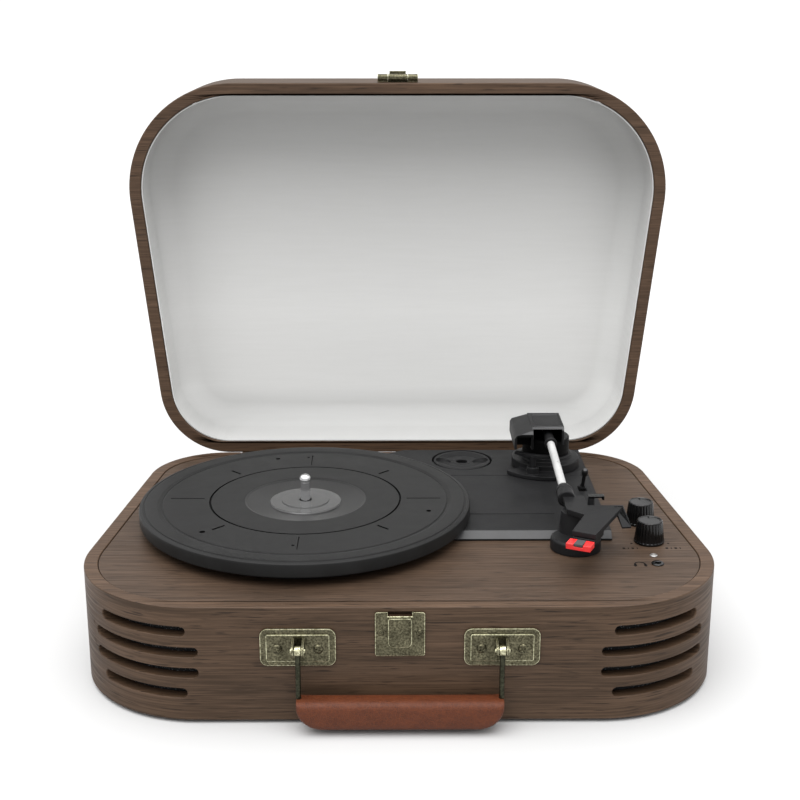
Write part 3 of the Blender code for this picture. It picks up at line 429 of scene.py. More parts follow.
def loft(rings):
    """A closed skin over rings that have the same number of points."""
    count, around = len(rings), len(rings[0])
    faces = []
    for near in range(0, (count - 1) * around, around):
        far = near + around
        faces += [(near + i, near + (i + 1) % around, far + (i + 1) % around, far + i) for i in range(around)]
    faces += [tuple(range(around)), tuple(range((count - 1) * around, count * around))]
    mesh = bpy.data.meshes.new("loft")
    mesh.from_pydata([Vector(p) * MM for ring in rings for p in ring], [], faces)
    work = bmesh.new()
    work.from_mesh(mesh)
    bmesh.ops.recalc_face_normals(work, faces=work.faces)
    work.to_mesh(mesh)
    work.free()
    return linked(mesh)


def slab(outlines, low, high):
    """A flat plate between two heights. The first outline is its edge and the others are holes."""
    curve = bpy.data.curves.new("slab", "CURVE")
    curve.dimensions = "2D"
    curve.fill_mode = "BOTH"
    curve.extrude = (high - low) / 2 * MM
    for outline in outlines:
        spline = curve.splines.new("POLY")
        spline.points.add(len(outline) - 1)
        for point, (x, y) in zip(spline.points, outline):
            point.co = (x * MM, y * MM, 0.0, 1.0)
        spline.use_cyclic_u = True
    obj = as_mesh(linked(curve))
    obj.data.transform(Matrix.Translation((0.0, 0.0, (low + high) / 2 * MM)))
    return obj


def block(size, centre, turn=0.0):
    work = bmesh.new()
    bmesh.ops.create_cube(work, size=1.0)
    spread = Matrix.Diagonal((*[s * MM for s in size], 1.0))
    place = shift(*centre) @ Matrix.Rotation(turn, 4, "Z")
    bmesh.ops.transform(work, matrix=place @ spread, verts=work.verts)
    mesh = bpy.data.meshes.new("block")
    work.to_mesh(mesh)
    work.free()
    return linked(mesh)


def turned(profile, centre=(0.0, 0.0, 0.0), steps=64, closed=False, tilt=None):
    """A solid of revolution. The profile's (radius, height) points run down its outer side."""
    mesh = bpy.data.meshes.new("turned")
    count = len(profile)
    edges = [(i, i + 1) for i in range(count - 1)] + ([(count - 1, 0)] if closed else [])
    mesh.from_pydata([(r * MM, 0.0, z * MM) for r, z in profile], edges, [])
    obj = linked(mesh)
    modifier = obj.modifiers.new("Screw", "SCREW")
    modifier.steps = modifier.render_steps = steps
    modifier.use_merge_vertices = True
    modifier.merge_threshold = 0.000005
    obj = as_mesh(obj)
    obj.data.transform(shift(*centre) @ (tilt or Matrix()))
    return obj


def peg(radius, high, low, x, y, steps):
    """A plain round pin or cutter, standing between two heights."""
    return turned([(0, high), (radius, high), (radius, low), (0, low)], (x, y, 0), steps)


def rod_along_x(radius, x_low, x_high, y, z, steps=32, edge=0.0):
    """A round rod lying along x, with its ends chamfered by the edge."""
    profile = [(0, x_high), (radius, x_high), (radius, x_low), (0, x_low)]
    if edge:
        inner = radius - edge
        profile[1:3] = [(inner, x_high), (radius, x_high - edge), (radius, x_low + edge), (inner, x_low)]
    return turned(profile, (0.0, y, z), steps, tilt=turn_about("Y", 90))


def tube_along(points, radius, steps):
    """A round rod that follows a path lying in a plane of constant y."""
    rings = []
    for i, here in enumerate(points):
        before, after = points[max(i - 1, 0)], points[min(i + 1, len(points) - 1)]
        ahead = (Vector(after) - Vector(before)).normalized()
        out = Vector((0, 1, 0))
        up = ahead.cross(out)
        turns = [2 * pi * k / steps for k in range(steps)]
        rings.append([Vector(here) + radius * (out * cos(a) + up * sin(a)) for a in turns])
    return loft(rings)


def upright(obj, y):
    """Stands a slab made in X and Y up, so that its Y becomes height and its faces look along Y."""
    obj.data.transform(Matrix.Translation((0.0, y * MM, 0.0)) @ Matrix.Rotation(pi / 2, 4, "X"))
    return obj


def upright_plate(width, height, corner, centre, half, y, steps=8):
    """A round-cornered plate standing at y. Its thickness is twice the half."""
    return upright(slab([rounded_rectangle(width, height, corner, centre, steps)], -half, half), y)


def boolean(target, tools, operation):
    for tool in tools:
        modifier = target.modifiers.new("Boolean", "BOOLEAN")
        modifier.operation = operation
        modifier.solver = "EXACT"
        modifier.object = tool
    result = as_mesh(target)
    for tool in tools:
        bpy.data.objects.remove(tool)
    return result


def cut(target, *tools):
    return boolean(target, tools, "DIFFERENCE")


def join(target, *tools):
    return boolean(target, tools, "UNION")


def soften(obj, width, segments=3, angle=40, edge_material=None):
    """Rounds the sharp edges. Their faces may take a second material, as brass edges painted bright for wear
    and painted highlight do.
    """
    modifier = obj.modifiers.new("Bevel", "BEVEL")
    modifier.width = width * MM
    modifier.segments = segments
    modifier.limit_method = "ANGLE"
    modifier.angle_limit = radians(angle)
    modifier.use_clamp_overlap = False
    if edge_material is not None:
        while len(obj.data.materials) <= edge_material:
            obj.data.materials.append(None)
        modifier.material = edge_material
    return as_mesh(obj)


def arc(centre, radius, start, end, steps):
    """Points on an arc, with its angles in radians."""
    return [
        (centre[0] + radius * cos(a), centre[1] + radius * sin(a))
        for a in (start + (end - start) * i / steps for i in range(steps + 1))
    ]


def circle(centre, radius, steps=48):
    return arc(centre, radius, 0.0, 2 * pi * (1 - 1 / steps), steps - 1)


def rounded_rectangle(width, height, radius, centre=(0.0, 0.0), steps=8):
    points = []
    for quarter, (sx, sy) in enumerate(((1, 1), (-1, 1), (-1, -1), (1, -1))):
        corner = (centre[0] + sx * (width / 2 - radius), centre[1] + sy * (height / 2 - radius))
        points += arc(corner, radius, quarter * pi / 2, (quarter + 1) * pi / 2, steps)
    return points


def case_outline(inset=0.0, steps=ARC_STEPS):
    """The case's plan outline, moved inwards by the inset."""
    right = arc(FRONT_ARC, FRONT_RADIUS - inset, -pi / 2, SIDE_TILT, steps)
    right += arc(REAR_ARC, REAR_RADIUS - inset, SIDE_TILT, pi / 2, steps)
    return right + [(-x, y) for x, y in reversed(right)]


def map_grain(obj, around=False):
    """Lays the grain over a piece, in metres: along x on level faces, and round the band on upright ones."""
    mesh = obj.data
    layer = mesh.uv_layers.new(name="grain")
    outline = case_outline()
    start = max(range(len(outline)), key=lambda i: (outline[i][1], -abs(outline[i][0])))
    outline = outline[start:] + outline[: start + 1]
    sides = zip(outline, outline[1:])
    path = np.array([p for a, b in sides for p in np.linspace(a, b, 12, endpoint=False)]) * MM
    run = np.concatenate([[0.0], np.cumsum(np.linalg.norm(np.diff(path, axis=0), axis=1))])
    points = np.array([v.co for v in mesh.vertices])
    nearest = np.array([np.argmin(((path - p[:2]) ** 2).sum(1)) for p in points]) if around else None
    for face in mesh.polygons:
        level = abs(face.normal.z) > 0.7 or not around
        for corner in face.loop_indices:
            vertex = mesh.loops[corner].vertex_index
            x, y, z = points[vertex]
            if level:
                layer.data[corner].uv = (x, y)
            else:
                layer.data[corner].uv = (run[nearest[vertex]], z)
        if level:
            continue
        along = [layer.data[corner].uv[0] for corner in face.loop_indices]
        if max(along) - min(along) > run[-1] / 2:
            for corner in face.loop_indices:
                if layer.data[corner].uv[0] < run[-1] / 2:
                    layer.data[corner].uv[0] += run[-1]
    return obj


def piece(obj, name, body, materials, *nodes, slot=None, lid=False, smooth=35):
    """Names a finished shape, puts it in the frame and makes it ride on its body."""
    obj.name = name
    obj.data.name = name
    if lid:
        obj.data.transform(LID_OPEN)
    obj.data.transform(Matrix.Translation((0.0, CASE_Y * MM, 0.0)))
    keys = [materials] if isinstance(materials, str) else materials
    while len(obj.data.materials) < len(keys):
        obj.data.materials.append(None)
    for index in range(len(obj.data.materials)):
        obj.data.materials[index] = M[keys[min(index, len(keys) - 1)]]
    obj.data.shade_smooth()
    obj.data.set_sharp_from_angle(angle=radians(smooth))
    weighted = obj.modifiers.new("WeightedNormal", "WEIGHTED_NORMAL")
    weighted.keep_sharp = True
    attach(obj, body)
    if nodes:
        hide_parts(*nodes)
    return obj


def paint(obj, index, chosen):
    """Gives the faces whose normal and centre pass a test another of the piece's finishes."""
    for face in obj.data.polygons:
        if chosen(face.normal, face.center / MM - CASE_CENTRE):
            face.material_index = index


def hardware(obj, name, body, *nodes, width=0.35, angle=40, lid=False):
    """Aged brass, with its edges softened and painted bright: partly wear, partly painted highlight."""
    softened = soften(obj, width, 2, angle, edge_material=1)
    return piece(softened, name, body, ("brass", "worn"), *nodes, lid=lid)


def screw_head(x, y, z, radius, name, body, material="brass", facing=90, lid=False, height=1.2):
    """A domed head with a cross recess, facing up until it is turned about x by the facing angle."""
    r, h = radius, height
    dome = [
        (0, h), (r * 0.45, h * 0.94), (r * 0.75, h * 0.72), (r * 0.94, h * 0.38), (r, 0.1), (r, -0.3),
        (0, -0.3),
    ]
    head = turned(dome, steps=32)
    long, short, deep = r * 1.25, r * 0.26, h * 1.2
    head = cut(head, block((long, short, deep), (0, 0, h)), block((short, long, deep), (0, 0, h)))
    spin = turn_about("Z", (x * 37 + z * 11) % 90)
    head.data.transform(shift(x, y, z) @ turn_about("X", facing) @ spin)
    return piece(head, name, body, material, lid=lid)


# ---------------------------------------------------------------- case


# Where each row of slots starts and ends, in degrees round the front corner, lowest row first.
SLOTS = ((4.2, 48.5), (-1.0, 54.5), (-1.0, 54.5), (4.2, 48.5))
SLOT_LOWEST, SLOT_PITCH, SLOT_HEIGHT = 17.9, 12.0, 5.5


def slot_cutter(side, index):
    """A round-ended slot bent round a front corner, a little deeper than the wall."""
    start, end = (radians(a) for a in SLOTS[index])
    radius = SLOT_HEIGHT / 2
    z = SLOT_LOWEST + SLOT_PITCH * index
    half = (end - start) / 2 * FRONT_RADIUS - radius
    turns = [radians(a) for a in (4, 20, 38, 56, 74, 90)]
    tip = [(half + radius * cos(a), radius * sin(a)) for a in turns]
    count = 20
    straight = [(half * (1 - 2 * i / count), radius) for i in range(1, count)]
    rings = []
    for along, rise in tip + straight + [(-a, r) for a, r in reversed(tip)]:
        turn = (start + end) / 2 + along / FRONT_RADIUS
        ring = []
        for reach, height in ((-3, -rise), (WALL + 3, -rise), (WALL + 3, rise), (-3, rise)):
            r = FRONT_RADIUS - WALL + reach
            x, y = FRONT_ARC[0] + r * sin(turn), FRONT_ARC[1] - r * cos(turn)
            ring.append((side * x, y, z + height))
        rings.append(ring)
    return loft(rings)


def make_case():
    wall = slab([case_outline(), case_outline(WALL)], CASE_BOTTOM, CASE_TOP)
    slots = [slot_cutter(side, index) for side in (-1, 1) for index in range(4)]
    wall = soften(cut(wall, *slots), 0.6, 4)
    relief_low, relief_high = HINGE.z - HINGE_CLEARANCE - 0.1, CASE_TOP + 2
    relief = (31.2, 4.0, relief_high - relief_low)
    tools = [block(relief, (side * HINGE_X, HINGE.y, (relief_low + relief_high) / 2)) for side in (-1, 1)]
    tools.append(block((13.0, 7.0, 2.6), (0, FRONT_Y, 64.5)))
    tools.append(block((27.0, 20.0, 9.6), (SOCKET_X, REAR_Y, SOCKET_Z)))
    hole = [(0, 12), (5, 12), (5, -12), (0, -12)]
    tools.append(turned(hole, (INLET_X, REAR_Y, SOCKET_Z), 32, tilt=turn_about("X", 90)))
    wall = cut(wall, *tools)
    map_grain(wall, around=True)
    piece(wall, "case_band", "base", ("band", "rim"), "case_wall")
    paint(wall, 1, lambda normal, at: normal.z > 0.7 and at.z > CASE_TOP - 1)

    inside = WALL + GAP
    shafts = [
        circle((KNOB_X, VOLUME_Y), 5.0, 24),
        circle((KNOB_X, MODE_Y), 5.0, 24),
        circle(LENS, 1.9, 16),
        circle(JACK, 3.2, 24),
        circle((SPINDLE.x, SPINDLE.y), 13.0, 32),
        circle((ARM.x, ARM.y), 13.0, 32),
    ]
    panel = soften(slab([case_outline(inside)] + shafts, PANEL_LOW.z, PANEL_TOP), 0.3, 2)
    piece(map_grain(panel), "veneered_top", "base", "top", "top_panel")

    low, high = FLOOR_PANEL[0].z, FLOOR_PANEL[1].z
    floor = soften(slab([case_outline(inside)], low, high), 0.4, 2)
    piece(floor, "base_board", "base", "board", "bottom_panel")
    places = [(side * x, y) for x, y in ((150, -70), (60, -108), (132, 60), (50, 108)) for side in (-1, 1)]
    for index, (x, y) in enumerate(places):
        screw_head(x, y, low, 2.6, f"board_screw_{index + 1}", "base", "steel", 180, height=0.6)

    for node in ("foot_front_left", "foot_front_right", "foot_rear_left", "foot_rear_right"):
        centre, top = middle(node), corners(node)[1].z
        profile = [
            (0, top), (8.3, top), (8.5, top - 0.3), (8.3, 0.9), (7.8, 0.3), (7.2, 0), (5.2, 0),
            (4.8, 0.7), (0, 0.7),
        ]
        piece(turned(profile, (centre.x, centre.y, 0), 48), f"rubber_{node}", "base", "rubber", node)


def make_grilles():
    low, high = corners("grille_left")[0].z, corners("grille_left")[1].z
    outer = FRONT_RADIUS - WALL - GAP
    for side, hand in SIDES:
        start, end = radians(-94), radians(-28)
        points = arc(FRONT_ARC, outer, start, end, 40) + arc(FRONT_ARC, outer - 0.8, end, start, 40)
        sheet = slab([[(side * x, y) for x, y in points]], low, high)
        map_grain(sheet, around=True)
        piece(sheet, f"speaker_mesh_{hand}", "base", "mesh", f"grille_{hand}")


def make_sockets():
    """Twin audio output and power inlet at the back."""
    back = turn_about("X", -90)
    y = REAR_Y + GAP
    flange = upright_plate(34.0, 15.0, 2.5, (SOCKET_X, SOCKET_Z), 0.7, y + 0.7)
    body = block((26.0, 12.0, 8.6), (SOCKET_X, REAR_Y - 4, SOCKET_Z))
    piece(soften(join(flange, body), 0.35, 2), "socket_plate", "base", "plastic", "rca_sockets")
    for x, key in ((SOCKET_X - 7, "red"), (SOCKET_X + 7, "white")):
        collar = [(4.4, 2.2), (4.9, 1.6), (4.9, 1.0), (1.9, 1.0), (1.9, 2.2)]
        piece(turned(collar, (x, y, SOCKET_Z), 40, True, back), f"socket_collar_{key}", "base", key)
        barrel = [(3.7, 9.0), (4.1, 8.7), (4.1, 1.2), (1.8, 1.2), (1.8, 8.7), (2.1, 9.0)]
        piece(turned(barrel, (x, y, SOCKET_Z), 40, True, back), f"socket_barrel_{key}", "base", "gold")
    shell = [(6.3, 1.9), (6.8, 1.4), (6.8, 0.1), (4.7, 0.0), (4.7, -14), (2.8, -14), (2.8, 1.5), (3.2, 1.9)]
    piece(turned(shell, (INLET_X, y, SOCKET_Z), 48, True, back), "power_inlet", "base", "plastic", "dc_jack")
    pin = [(0, -0.5), (0.7, -0.7), (1.0, -1.2), (1.0, -13.5), (2.8, -13.5), (2.8, -14), (0, -14)]
    piece(turned(pin, (INLET_X, y, SOCKET_Z), 24, tilt=back), "power_inlet_pin", "base", "steel")
    for side, hand in SIDES:
        x = SOCKET_X + side * 14.5
        screw_head(x, y + 1.2, SOCKET_Z, 1.3, f"socket_screw_{hand}", "base", "steel", -90, height=0.6)


# ---------------------------------------------------------------- deck and platter


def make_deck():
    lobe = arc((SPINDLE.x, SPINDLE.y), 88.0, radians(62), radians(339), 90)
    right, front, rear, bevel = 125.6, -35.7, 117.8, 5.1
    corner = [(right, front), (right, rear - 0.9), (right - 4.0, rear), (4.0, rear), (-8.0, rear - 8.0)]
    outline = corner + lobe + [(lobe[-1][0], front)]
    holes = [circle((SPINDLE.x, SPINDLE.y), 6.0, 32), circle((ARM.x, ARM.y), 9.0, 32)]
    pulley = middle("motor_pulley")
    holes.append(circle((pulley.x, pulley.y), 6.5, 32))
    low = DECK_LOW.z
    deck = slab([outline] + holes, low, DECK_TOP)
    slope = atan2(DECK_TOP - low - 1.0, bevel)
    wedge = block((180, 12, 8), (0, 0, 4))
    wedge.data.transform(shift(110, front, low + 1.0) @ Matrix.Rotation(slope, 4, "X"))
    seat = peg(20.4, DECK_TOP + 1, DECK_TOP - 3.4, ADAPTER.x, ADAPTER.y, 96)
    seams = [block((130, 0.7, 0.9), (75, 64.8, DECK_TOP)), block((70, 0.25, 0.16), (60, -4.7, DECK_TOP))]
    bite = peg(15.3, DECK_TOP + 1, low - 1, REST.x, REST.y, 64)
    slot = block((5.0, 9.0, 12), (117.7, 39.5, DECK_TOP))
    deck = soften(cut(deck, wedge, seat, bite, slot, *seams), 0.22, 2, 30)
    piece(deck, "deck_moulding", "base", ("plastic", "pale"), "chassis_plate")
    # The front bevel, facing forward and up, is painted paler as a painted highlight.
    paint(deck, 1, lambda normal, at: normal.y < -0.4 and normal.z > 0.3 and at.y < front + bevel + 1)

    radius = 19.05
    adapter_foot = (ADAPTER.x, ADAPTER.y, 0)
    outside = [(radius - 0.4, 72.5), (radius, 72.1), (radius, 69.8), (radius - 0.2, 69.6), (3.8, 69.6)]
    inside = [
        (3.8, 71.2), (4.1, 71.5), (6.2, 71.5), (6.5, 71.2), (12.2, 71.2), (12.6, 71.5), (16.0, 72.2),
        (16.4, 72.5),
    ]
    disc = turned(outside + inside, adapter_foot, 128, True)
    cups = []
    for side in (-1, 1):
        cup = [(0, 75), (5.4, 75), (5.4, 71.6), (4.6, 70.1), (0, 70.1)]
        cups.append(turned(cup, (ADAPTER.x + side * 12.4, ADAPTER.y, 0), 48))
    disc = soften(cut(disc, *cups), 0.12, 2, 45)
    piece(disc, "single_adapter", "adapter", "plastic", "adapter_45")


def make_platter():
    top = PLATTER_TOP
    low = corners("platter")[0].z
    boss = [(3.75, top - 0.7), (4.0, top - 0.5), (13.8, top - 0.5), (14.2, top - 0.7), (14.4, top - 1.1)]
    disc = [(21.0, top - 1.1), (21.4, top - 1.3), (21.8, top - 1.9)]
    ring = [(22.4, top - 2.0), (35.2, top - 0.9), (36.0, top - 0.5), (36.8, top - 0.12), (37.8, top)]
    plate = [(57.0, top), (57.1, top - 1.2), (58.1, top - 1.2), (58.2, top), (85.4, top), (85.7, top - 0.1)]
    steps = [
        (86.0, top - 0.55), (86.7, top - 0.6), (87.0, top - 0.3), (87.6, top - 0.25),
        (88.4, top + 0.12), (89.2, top + 0.3),
    ]
    crown = [(95.6, top + 0.3), (96.4, top + 0.15), (96.7, top - 0.35), (97.3, top - 0.4), (97.7, top - 0.1)]
    rim = [
        (98.9, top - 0.25), (99.7, top - 0.8), (100.0, top - 1.7), (100.0, low + 1.0),
        (99.7, low + 0.3), (99.2, low),
    ]
    under = [
        (95.2, low), (95.2, top - 3.0), (60.0, top - 3.0), (60.0, low + 0.4), (57.4, low + 0.4),
        (57.4, top - 4.0),
    ]
    hub = [(9.0, top - 4.0), (9.0, low + 0.4), (3.75, low + 0.4)]
    profile = boss + disc + ring + plate + steps + crown + rim + under + hub
    platter = turned(profile, SPINDLE_FOOT, 192, True)

    def radial_slit(degrees, start, end, width):
        angle, reach = radians(degrees), (start + end) / 2
        centre = (SPINDLE.x + reach * cos(angle), SPINDLE.y + reach * sin(angle), top)
        return block((end - start, width, 1.6), centre, angle)

    tools = [radial_slit(90 * i, 61.5, 82.0, 1.0) for i in (0, 2)]
    tools += [radial_slit(90 * i, 61.5, 80.0, 0.6) for i in (1, 3)]
    tools += [radial_slit(45 + 90 * i, 62.5, 71.5, 1.5) for i in range(4)]
    dimples = ((-16, 77.5, 1.5), (107, 77.5, 1.5), (224, 77.5, 1.7), (92, 76.5, 0.9), (268, 74.0, 0.9))
    for degrees, reach, radius in dimples:
        angle = radians(degrees)
        centre = (SPINDLE.x + reach * cos(angle), SPINDLE.y + reach * sin(angle))
        tools.append(peg(radius, top + 1, top - 2.0, *centre, 20))
    platter = cut(platter, *tools)
    finishes = ("platter", "ring", "disc", "painted_shade_black")
    piece(platter, "platter_moulding", "turntable", finishes, "platter", smooth=28)

    def between(start, end, depth):
        """A test for faces in a ring about the spindle, between a depth and 2.5 mm."""
        return lambda _, at: start < (at - SPINDLE).xy.length < end and depth < top - at.z < 2.5

    paint(platter, 2, between(-1, 22, -1))
    paint(platter, 1, between(22, 36.4, -1))
    # The groove, slits and dimples are painted near-black: painted shade.
    paint(platter, 3, between(56.9, 84, 0.05))

    nose = [
        (0, 97.7), (0.9, 97.6), (1.8, 97.25), (2.6, 96.7), (3.15, 95.9), (3.5, 94.9), (3.5, 93.9),
        (3.3, 92.9),
    ]
    shaft = [
        (3.1, 92.2), (3.1, low - 0.4), (8.5, low - 0.4), (8.5, DECK_TOP + GAP), (5.6, DECK_TOP + GAP),
        (5.6, 50), (0, 50),
    ]
    piece(turned(nose + shaft, SPINDLE_FOOT, 64), "centre_spindle", "base", "chrome", "spindle")


# ---------------------------------------------------------------- tonearm


def swing_point(radius, degrees):
    """A point about the arm's pivot, measured from straight ahead towards the platter."""
    angle = radians(-90 - degrees)
    return ARM.x + radius * cos(angle), ARM.y + radius * sin(angle)


def make_arm_base():
    top = corners("arm_base")[1].z
    foot = DECK_TOP + GAP
    drum = [
        (4.2, top), (16.2, top), (16.8, top - 0.2), (17.1, top - 0.7), (17.2, 79.8), (17.6, 79.4),
        (21.4, 79.0),
    ]
    flange = [(22.2, 78.8), (22.6, 78.2), (22.6, foot), (8.4, foot), (8.4, 60), (4.2, 60)]
    turret = turned(drum + flange, ARM_FOOT, 96, True)
    fan = [swing_point(34.0, d) for d in range(-12, 55, 3)] + [swing_point(18.0, d) for d in (54, 22, -12)]
    fan = slab([fan], foot, 75.4)
    bush_at = swing_point(28.0, 23)
    bush = turned([(0, 80), (3.6, 80), (4.0, 79.6), (4.0, 74), (0, 74)], (*bush_at, 0), 32)
    bore = peg(2.15, 81, 73.6, *bush_at, 32)
    base = soften(cut(join(turret, fan, bush), bore), 0.4, 3)
    piece(base, "arm_turret_base", "base", "arm", "arm_base")

    low, high = corners("cue_lift")
    outer = [swing_point(29.6, -5 + 2.75 * i) for i in range(21)]
    inner = [swing_point(26.4, 50 - 2.75 * i) for i in range(21)]
    bar = slab([outer + inner], high.z - 2.2, high.z)
    stem = peg(1.95, high.z - 1.4, low.z, *bush_at, 32)
    piece(soften(join(bar, stem), 0.35, 3), "cue_platform", "cue", "arm", "cue_lift")

    pivot = joint_place("cue_lever_turn")
    lean = turn_about("X", 33)
    stalk = [
        (0, 18.5), (1.0, 18.4), (1.6, 18.0), (2.0, 17.3), (2.0, 13.9), (1.6, 13.3), (1.2, 12.8),
        (1.2, -1.6), (0, -2.0),
    ]
    stalk = turned(stalk, pivot, 32, tilt=lean)
    hub = rod_along_x(2.2, pivot.x - 1.4, pivot.x + 1.4, pivot.y, pivot.z, 32)
    piece(soften(join(stalk, hub), 0.15, 2, 50), "cue_lever_stalk", "lever", "arm", "cue_lever")
    cap = [(0, 18.62), (0.7, 18.58), (1.1, 18.45), (1.1, 18.2), (0, 18.2)]
    piece(turned(cap, pivot, 24, tilt=lean), "cue_lever_tip", "lever", "pale")


def make_hood():
    low, top = corners("arm_base")[1].z + 0.4, corners("arm_hood")[1].z
    drum = [(0, 93.6), (14.8, 93.6), (15.5, 92.9), (15.5, low), (4.0, low), (4.0, 62), (0, 62)]
    drum = turned(drum, ARM_FOOT, 96)
    shell_x, side_x = 97.8, 81.6
    shell = block((21.6, 33.0, 12.2), (shell_x, 82.5, top - 6.1))
    shell = cut(shell, block((18.6, 40.0, 14.0), (shell_x, 77.0, top - 8.8)))
    side = [
        (75.4, 93.0), (87.6, 93.0), (87.6, top - 0.3), (86.0, top - 0.3), (76.6, top - 3.0),
        (75.4, top - 5.0),
    ]
    side = upright(slab([side], -20.0, 20.0), 77.0)
    side = cut(side, block((9.2, 14.0, 9.0), (side_x, 60.0, 96.6)))
    chamfers = []
    for x, y, width in ((shell_x, 66.0, 30.0), (78.0, 57.0, 20.0)):
        wedge = block((width, 3.4, 3.4), (0, 0, 0))
        wedge.data.transform(shift(x, y, top) @ turn_about("X", 52))
        chamfers.append(wedge)
    shell, side = cut(shell, chamfers[0]), cut(side, chamfers[1])
    inset = soften(block((17.4, 23.0, 1.0), (98.6, 83.5, top + 0.1)), 0.3, 2)
    bore = rod_along_x(1.8, 87.2, 110.0, ARM.y, ARM.z)
    hood = soften(cut(join(shell, side, drum), inset, bore), 0.3, 2)
    piece(hood, "arm_cover", "arm_turret", ("arm", "pale", "painted_shade_black"), "arm_hood")

    def is_hollow(_, at):
        under_shell = 87.9 < at.x < 107.9 and 66.5 < at.y < 98.5 and at.z < top - 1.6
        under_side = 76.9 < at.x < 86.3 and at.y < 67.2 and at.z < 101.3
        return at.z < 93.1 or under_shell or under_side

    # Chamfers facing forward and up are painted paler: a painted highlight.
    paint(hood, 1, lambda normal, at: normal.y < -0.5 and normal.z > 0.4 and at.z > top - 4.5)
    # Hollows under the cover and the drum below are painted near-black: painted shade.
    paint(hood, 2, is_hollow)
    rivets = rod_along_x(1.5, 87.6, 108.5, ARM.y, ARM.z, 32, 0.2)
    piece(rivets, "arm_pivot_rod", "arm_turret", "steel", "arm_pivot_pin")


def make_arm():
    drop = Matrix.Rotation(pi / 2 + ARM_DROP, 4, "X")
    yoke = [
        (0, 29.0), (3.7, 29.0), (4.1, 28.6), (4.1, 26.9), (3.7, 26.3), (3.2, 25.8), (3.2, 12),
        (2.9, 11.6), (2.9, 9.2), (3.2, 8.8), (3.2, -4.6), (2.8, -5.0), (0, -5.0),
    ]
    yoke = cut(turned(yoke, ARM, 48, tilt=drop), rod_along_x(1.6, ARM.x - 6, ARM.x + 6, ARM.y, ARM.z))
    piece(yoke, "arm_yoke", "arm", "arm", "arm_gimbal")
    tube = [(0, 99.0), (2.4, 99.0), (2.5, 98.9), (2.5, 29.4), (2.4, 29.3), (0, 29.3)]
    piece(turned(tube, ARM, 48, tilt=drop), "silver_arm_tube", "arm", "tube", "arm_tube")
    make_headshell(drop)


def make_headshell(drop):
    low, high = 88.6, 91.6
    neck = [(96.9, -24.0), (109.3, -24.0), (109.6, -39.9)]
    head = [(130.5, -39.9), (107.9, -85.6), (95.6, -79.4), (105.6, -55.0), (96.6, -46.3)]
    plate = slab([neck + head], low, high)
    hollow = [(111.0, -42.5), (126.0, -42.5), (108.0, -78.0), (101.0, -75.5), (108.6, -55.0), (103.0, -46.0)]
    plate = cut(plate, slab([hollow], low - 1, low + 1.2))
    collar = [
        (0, 114.0), (4.6, 114.0), (5.2, 113.4), (5.2, 106.2), (4.8, 105.8), (4.8, 104.6), (5.2, 104.2),
        (5.2, 103.0), (4.4, 99.3), (0, 99.3),
    ]
    collar = turned(collar, ARM, 48, tilt=drop)
    finger = block((5.5, 17.0, 1.2), (0, -7.5, 0))
    finger.data.transform(shift(127.6, -43.5, high - 0.9) @ turn_about("Z", 8) @ turn_about("X", 22))
    shell = soften(join(plate, collar, finger), 0.3, 3)
    piece(shell, "offset_headshell", "arm", "arm", "headshell")

    turn = radians(-25.5)

    def on_head(x, y, z):
        """A place on the head: x across it, y ahead of its front centre."""
        c, s = cos(turn), sin(turn)
        return 101.8 + x * c + y * s, -82.0 + x * s - y * c, z

    body = soften(block((12.5, 19.0, 3.6), on_head(0, -8.0, low - GAP - 1.8), turn), 0.4, 3)
    piece(body, "cartridge_body", "arm", "arm", "cartridge")
    top = low - GAP
    red = block((14.0, 8.0, 3.4), on_head(0, 6.4, top - 1.7 - GAP), turn)
    notch = block((5.4, 4.2, 2.2), on_head(0, 8.6, top - 0.6), turn)
    shank = [(0, top - 2.7), (0.8, top - 2.7), (0.35, 83.6), (0.2, 83.2), (0, 83.2)]
    red = soften(join(cut(red, notch), turned(shank, on_head(0, 5.0, 0), 24)), 0.35, 3)
    piece(red, "stylus_guard", "arm", "red", "stylus")
    tab = soften(block((5.0, 7.2, 1.5), on_head(0, 6.9, top - 0.65), turn), 0.25, 2)
    piece(tab, "stylus_tab", "arm", "pale")


def make_arm_rest():
    low = PANEL_TOP + GAP
    foot = [(0, 75.0), (12.8, 75.0), (13.5, 74.7), (14.2, 74.1), (14.6, 73.2), (14.7, low), (0, low)]
    foot = turned(foot, REST, 96)
    tower = [(0, 88.0), (7.2, 88.0), (7.8, 87.6), (8.0, 87.0), (9.0, 74.0), (0, 74.0)]
    tower = turned(tower, (REST.x, -38.5, 0), 64)
    arm = block((6.0, 4.4, 4.0), (111.4, CLIP.y - 0.6, 84.0))
    clip_foot = (CLIP.x, CLIP.y, 0)
    post = turned([(0, 92.9), (1.7, 92.9), (2.0, 92.6), (2.0, 82.4), (1.8, 82.2), (0, 82.2)], clip_foot, 32)
    bore = peg(0.9, 94, 86, CLIP.x, CLIP.y, 24)
    rest = soften(cut(join(foot, tower, arm, post), bore), 0.3, 2, 45)
    piece(rest, "rest_pillar", "base", "arm", "arm_rest")

    tab = block((9.4, 4.2, 1.2), (CLIP.x + 2.8, CLIP.y, 93.8))
    lip = block((1.4, 4.2, 2.4), (CLIP.x + 6.8, CLIP.y, 93.2))
    pin = peg(0.8, 93.7, 87.0, CLIP.x, CLIP.y, 24)
    piece(soften(join(tab, lip, pin), 0.3, 3), "swing_clip", "clip", "gloss", "rest_clip")


# ---------------------------------------------------------------- controls


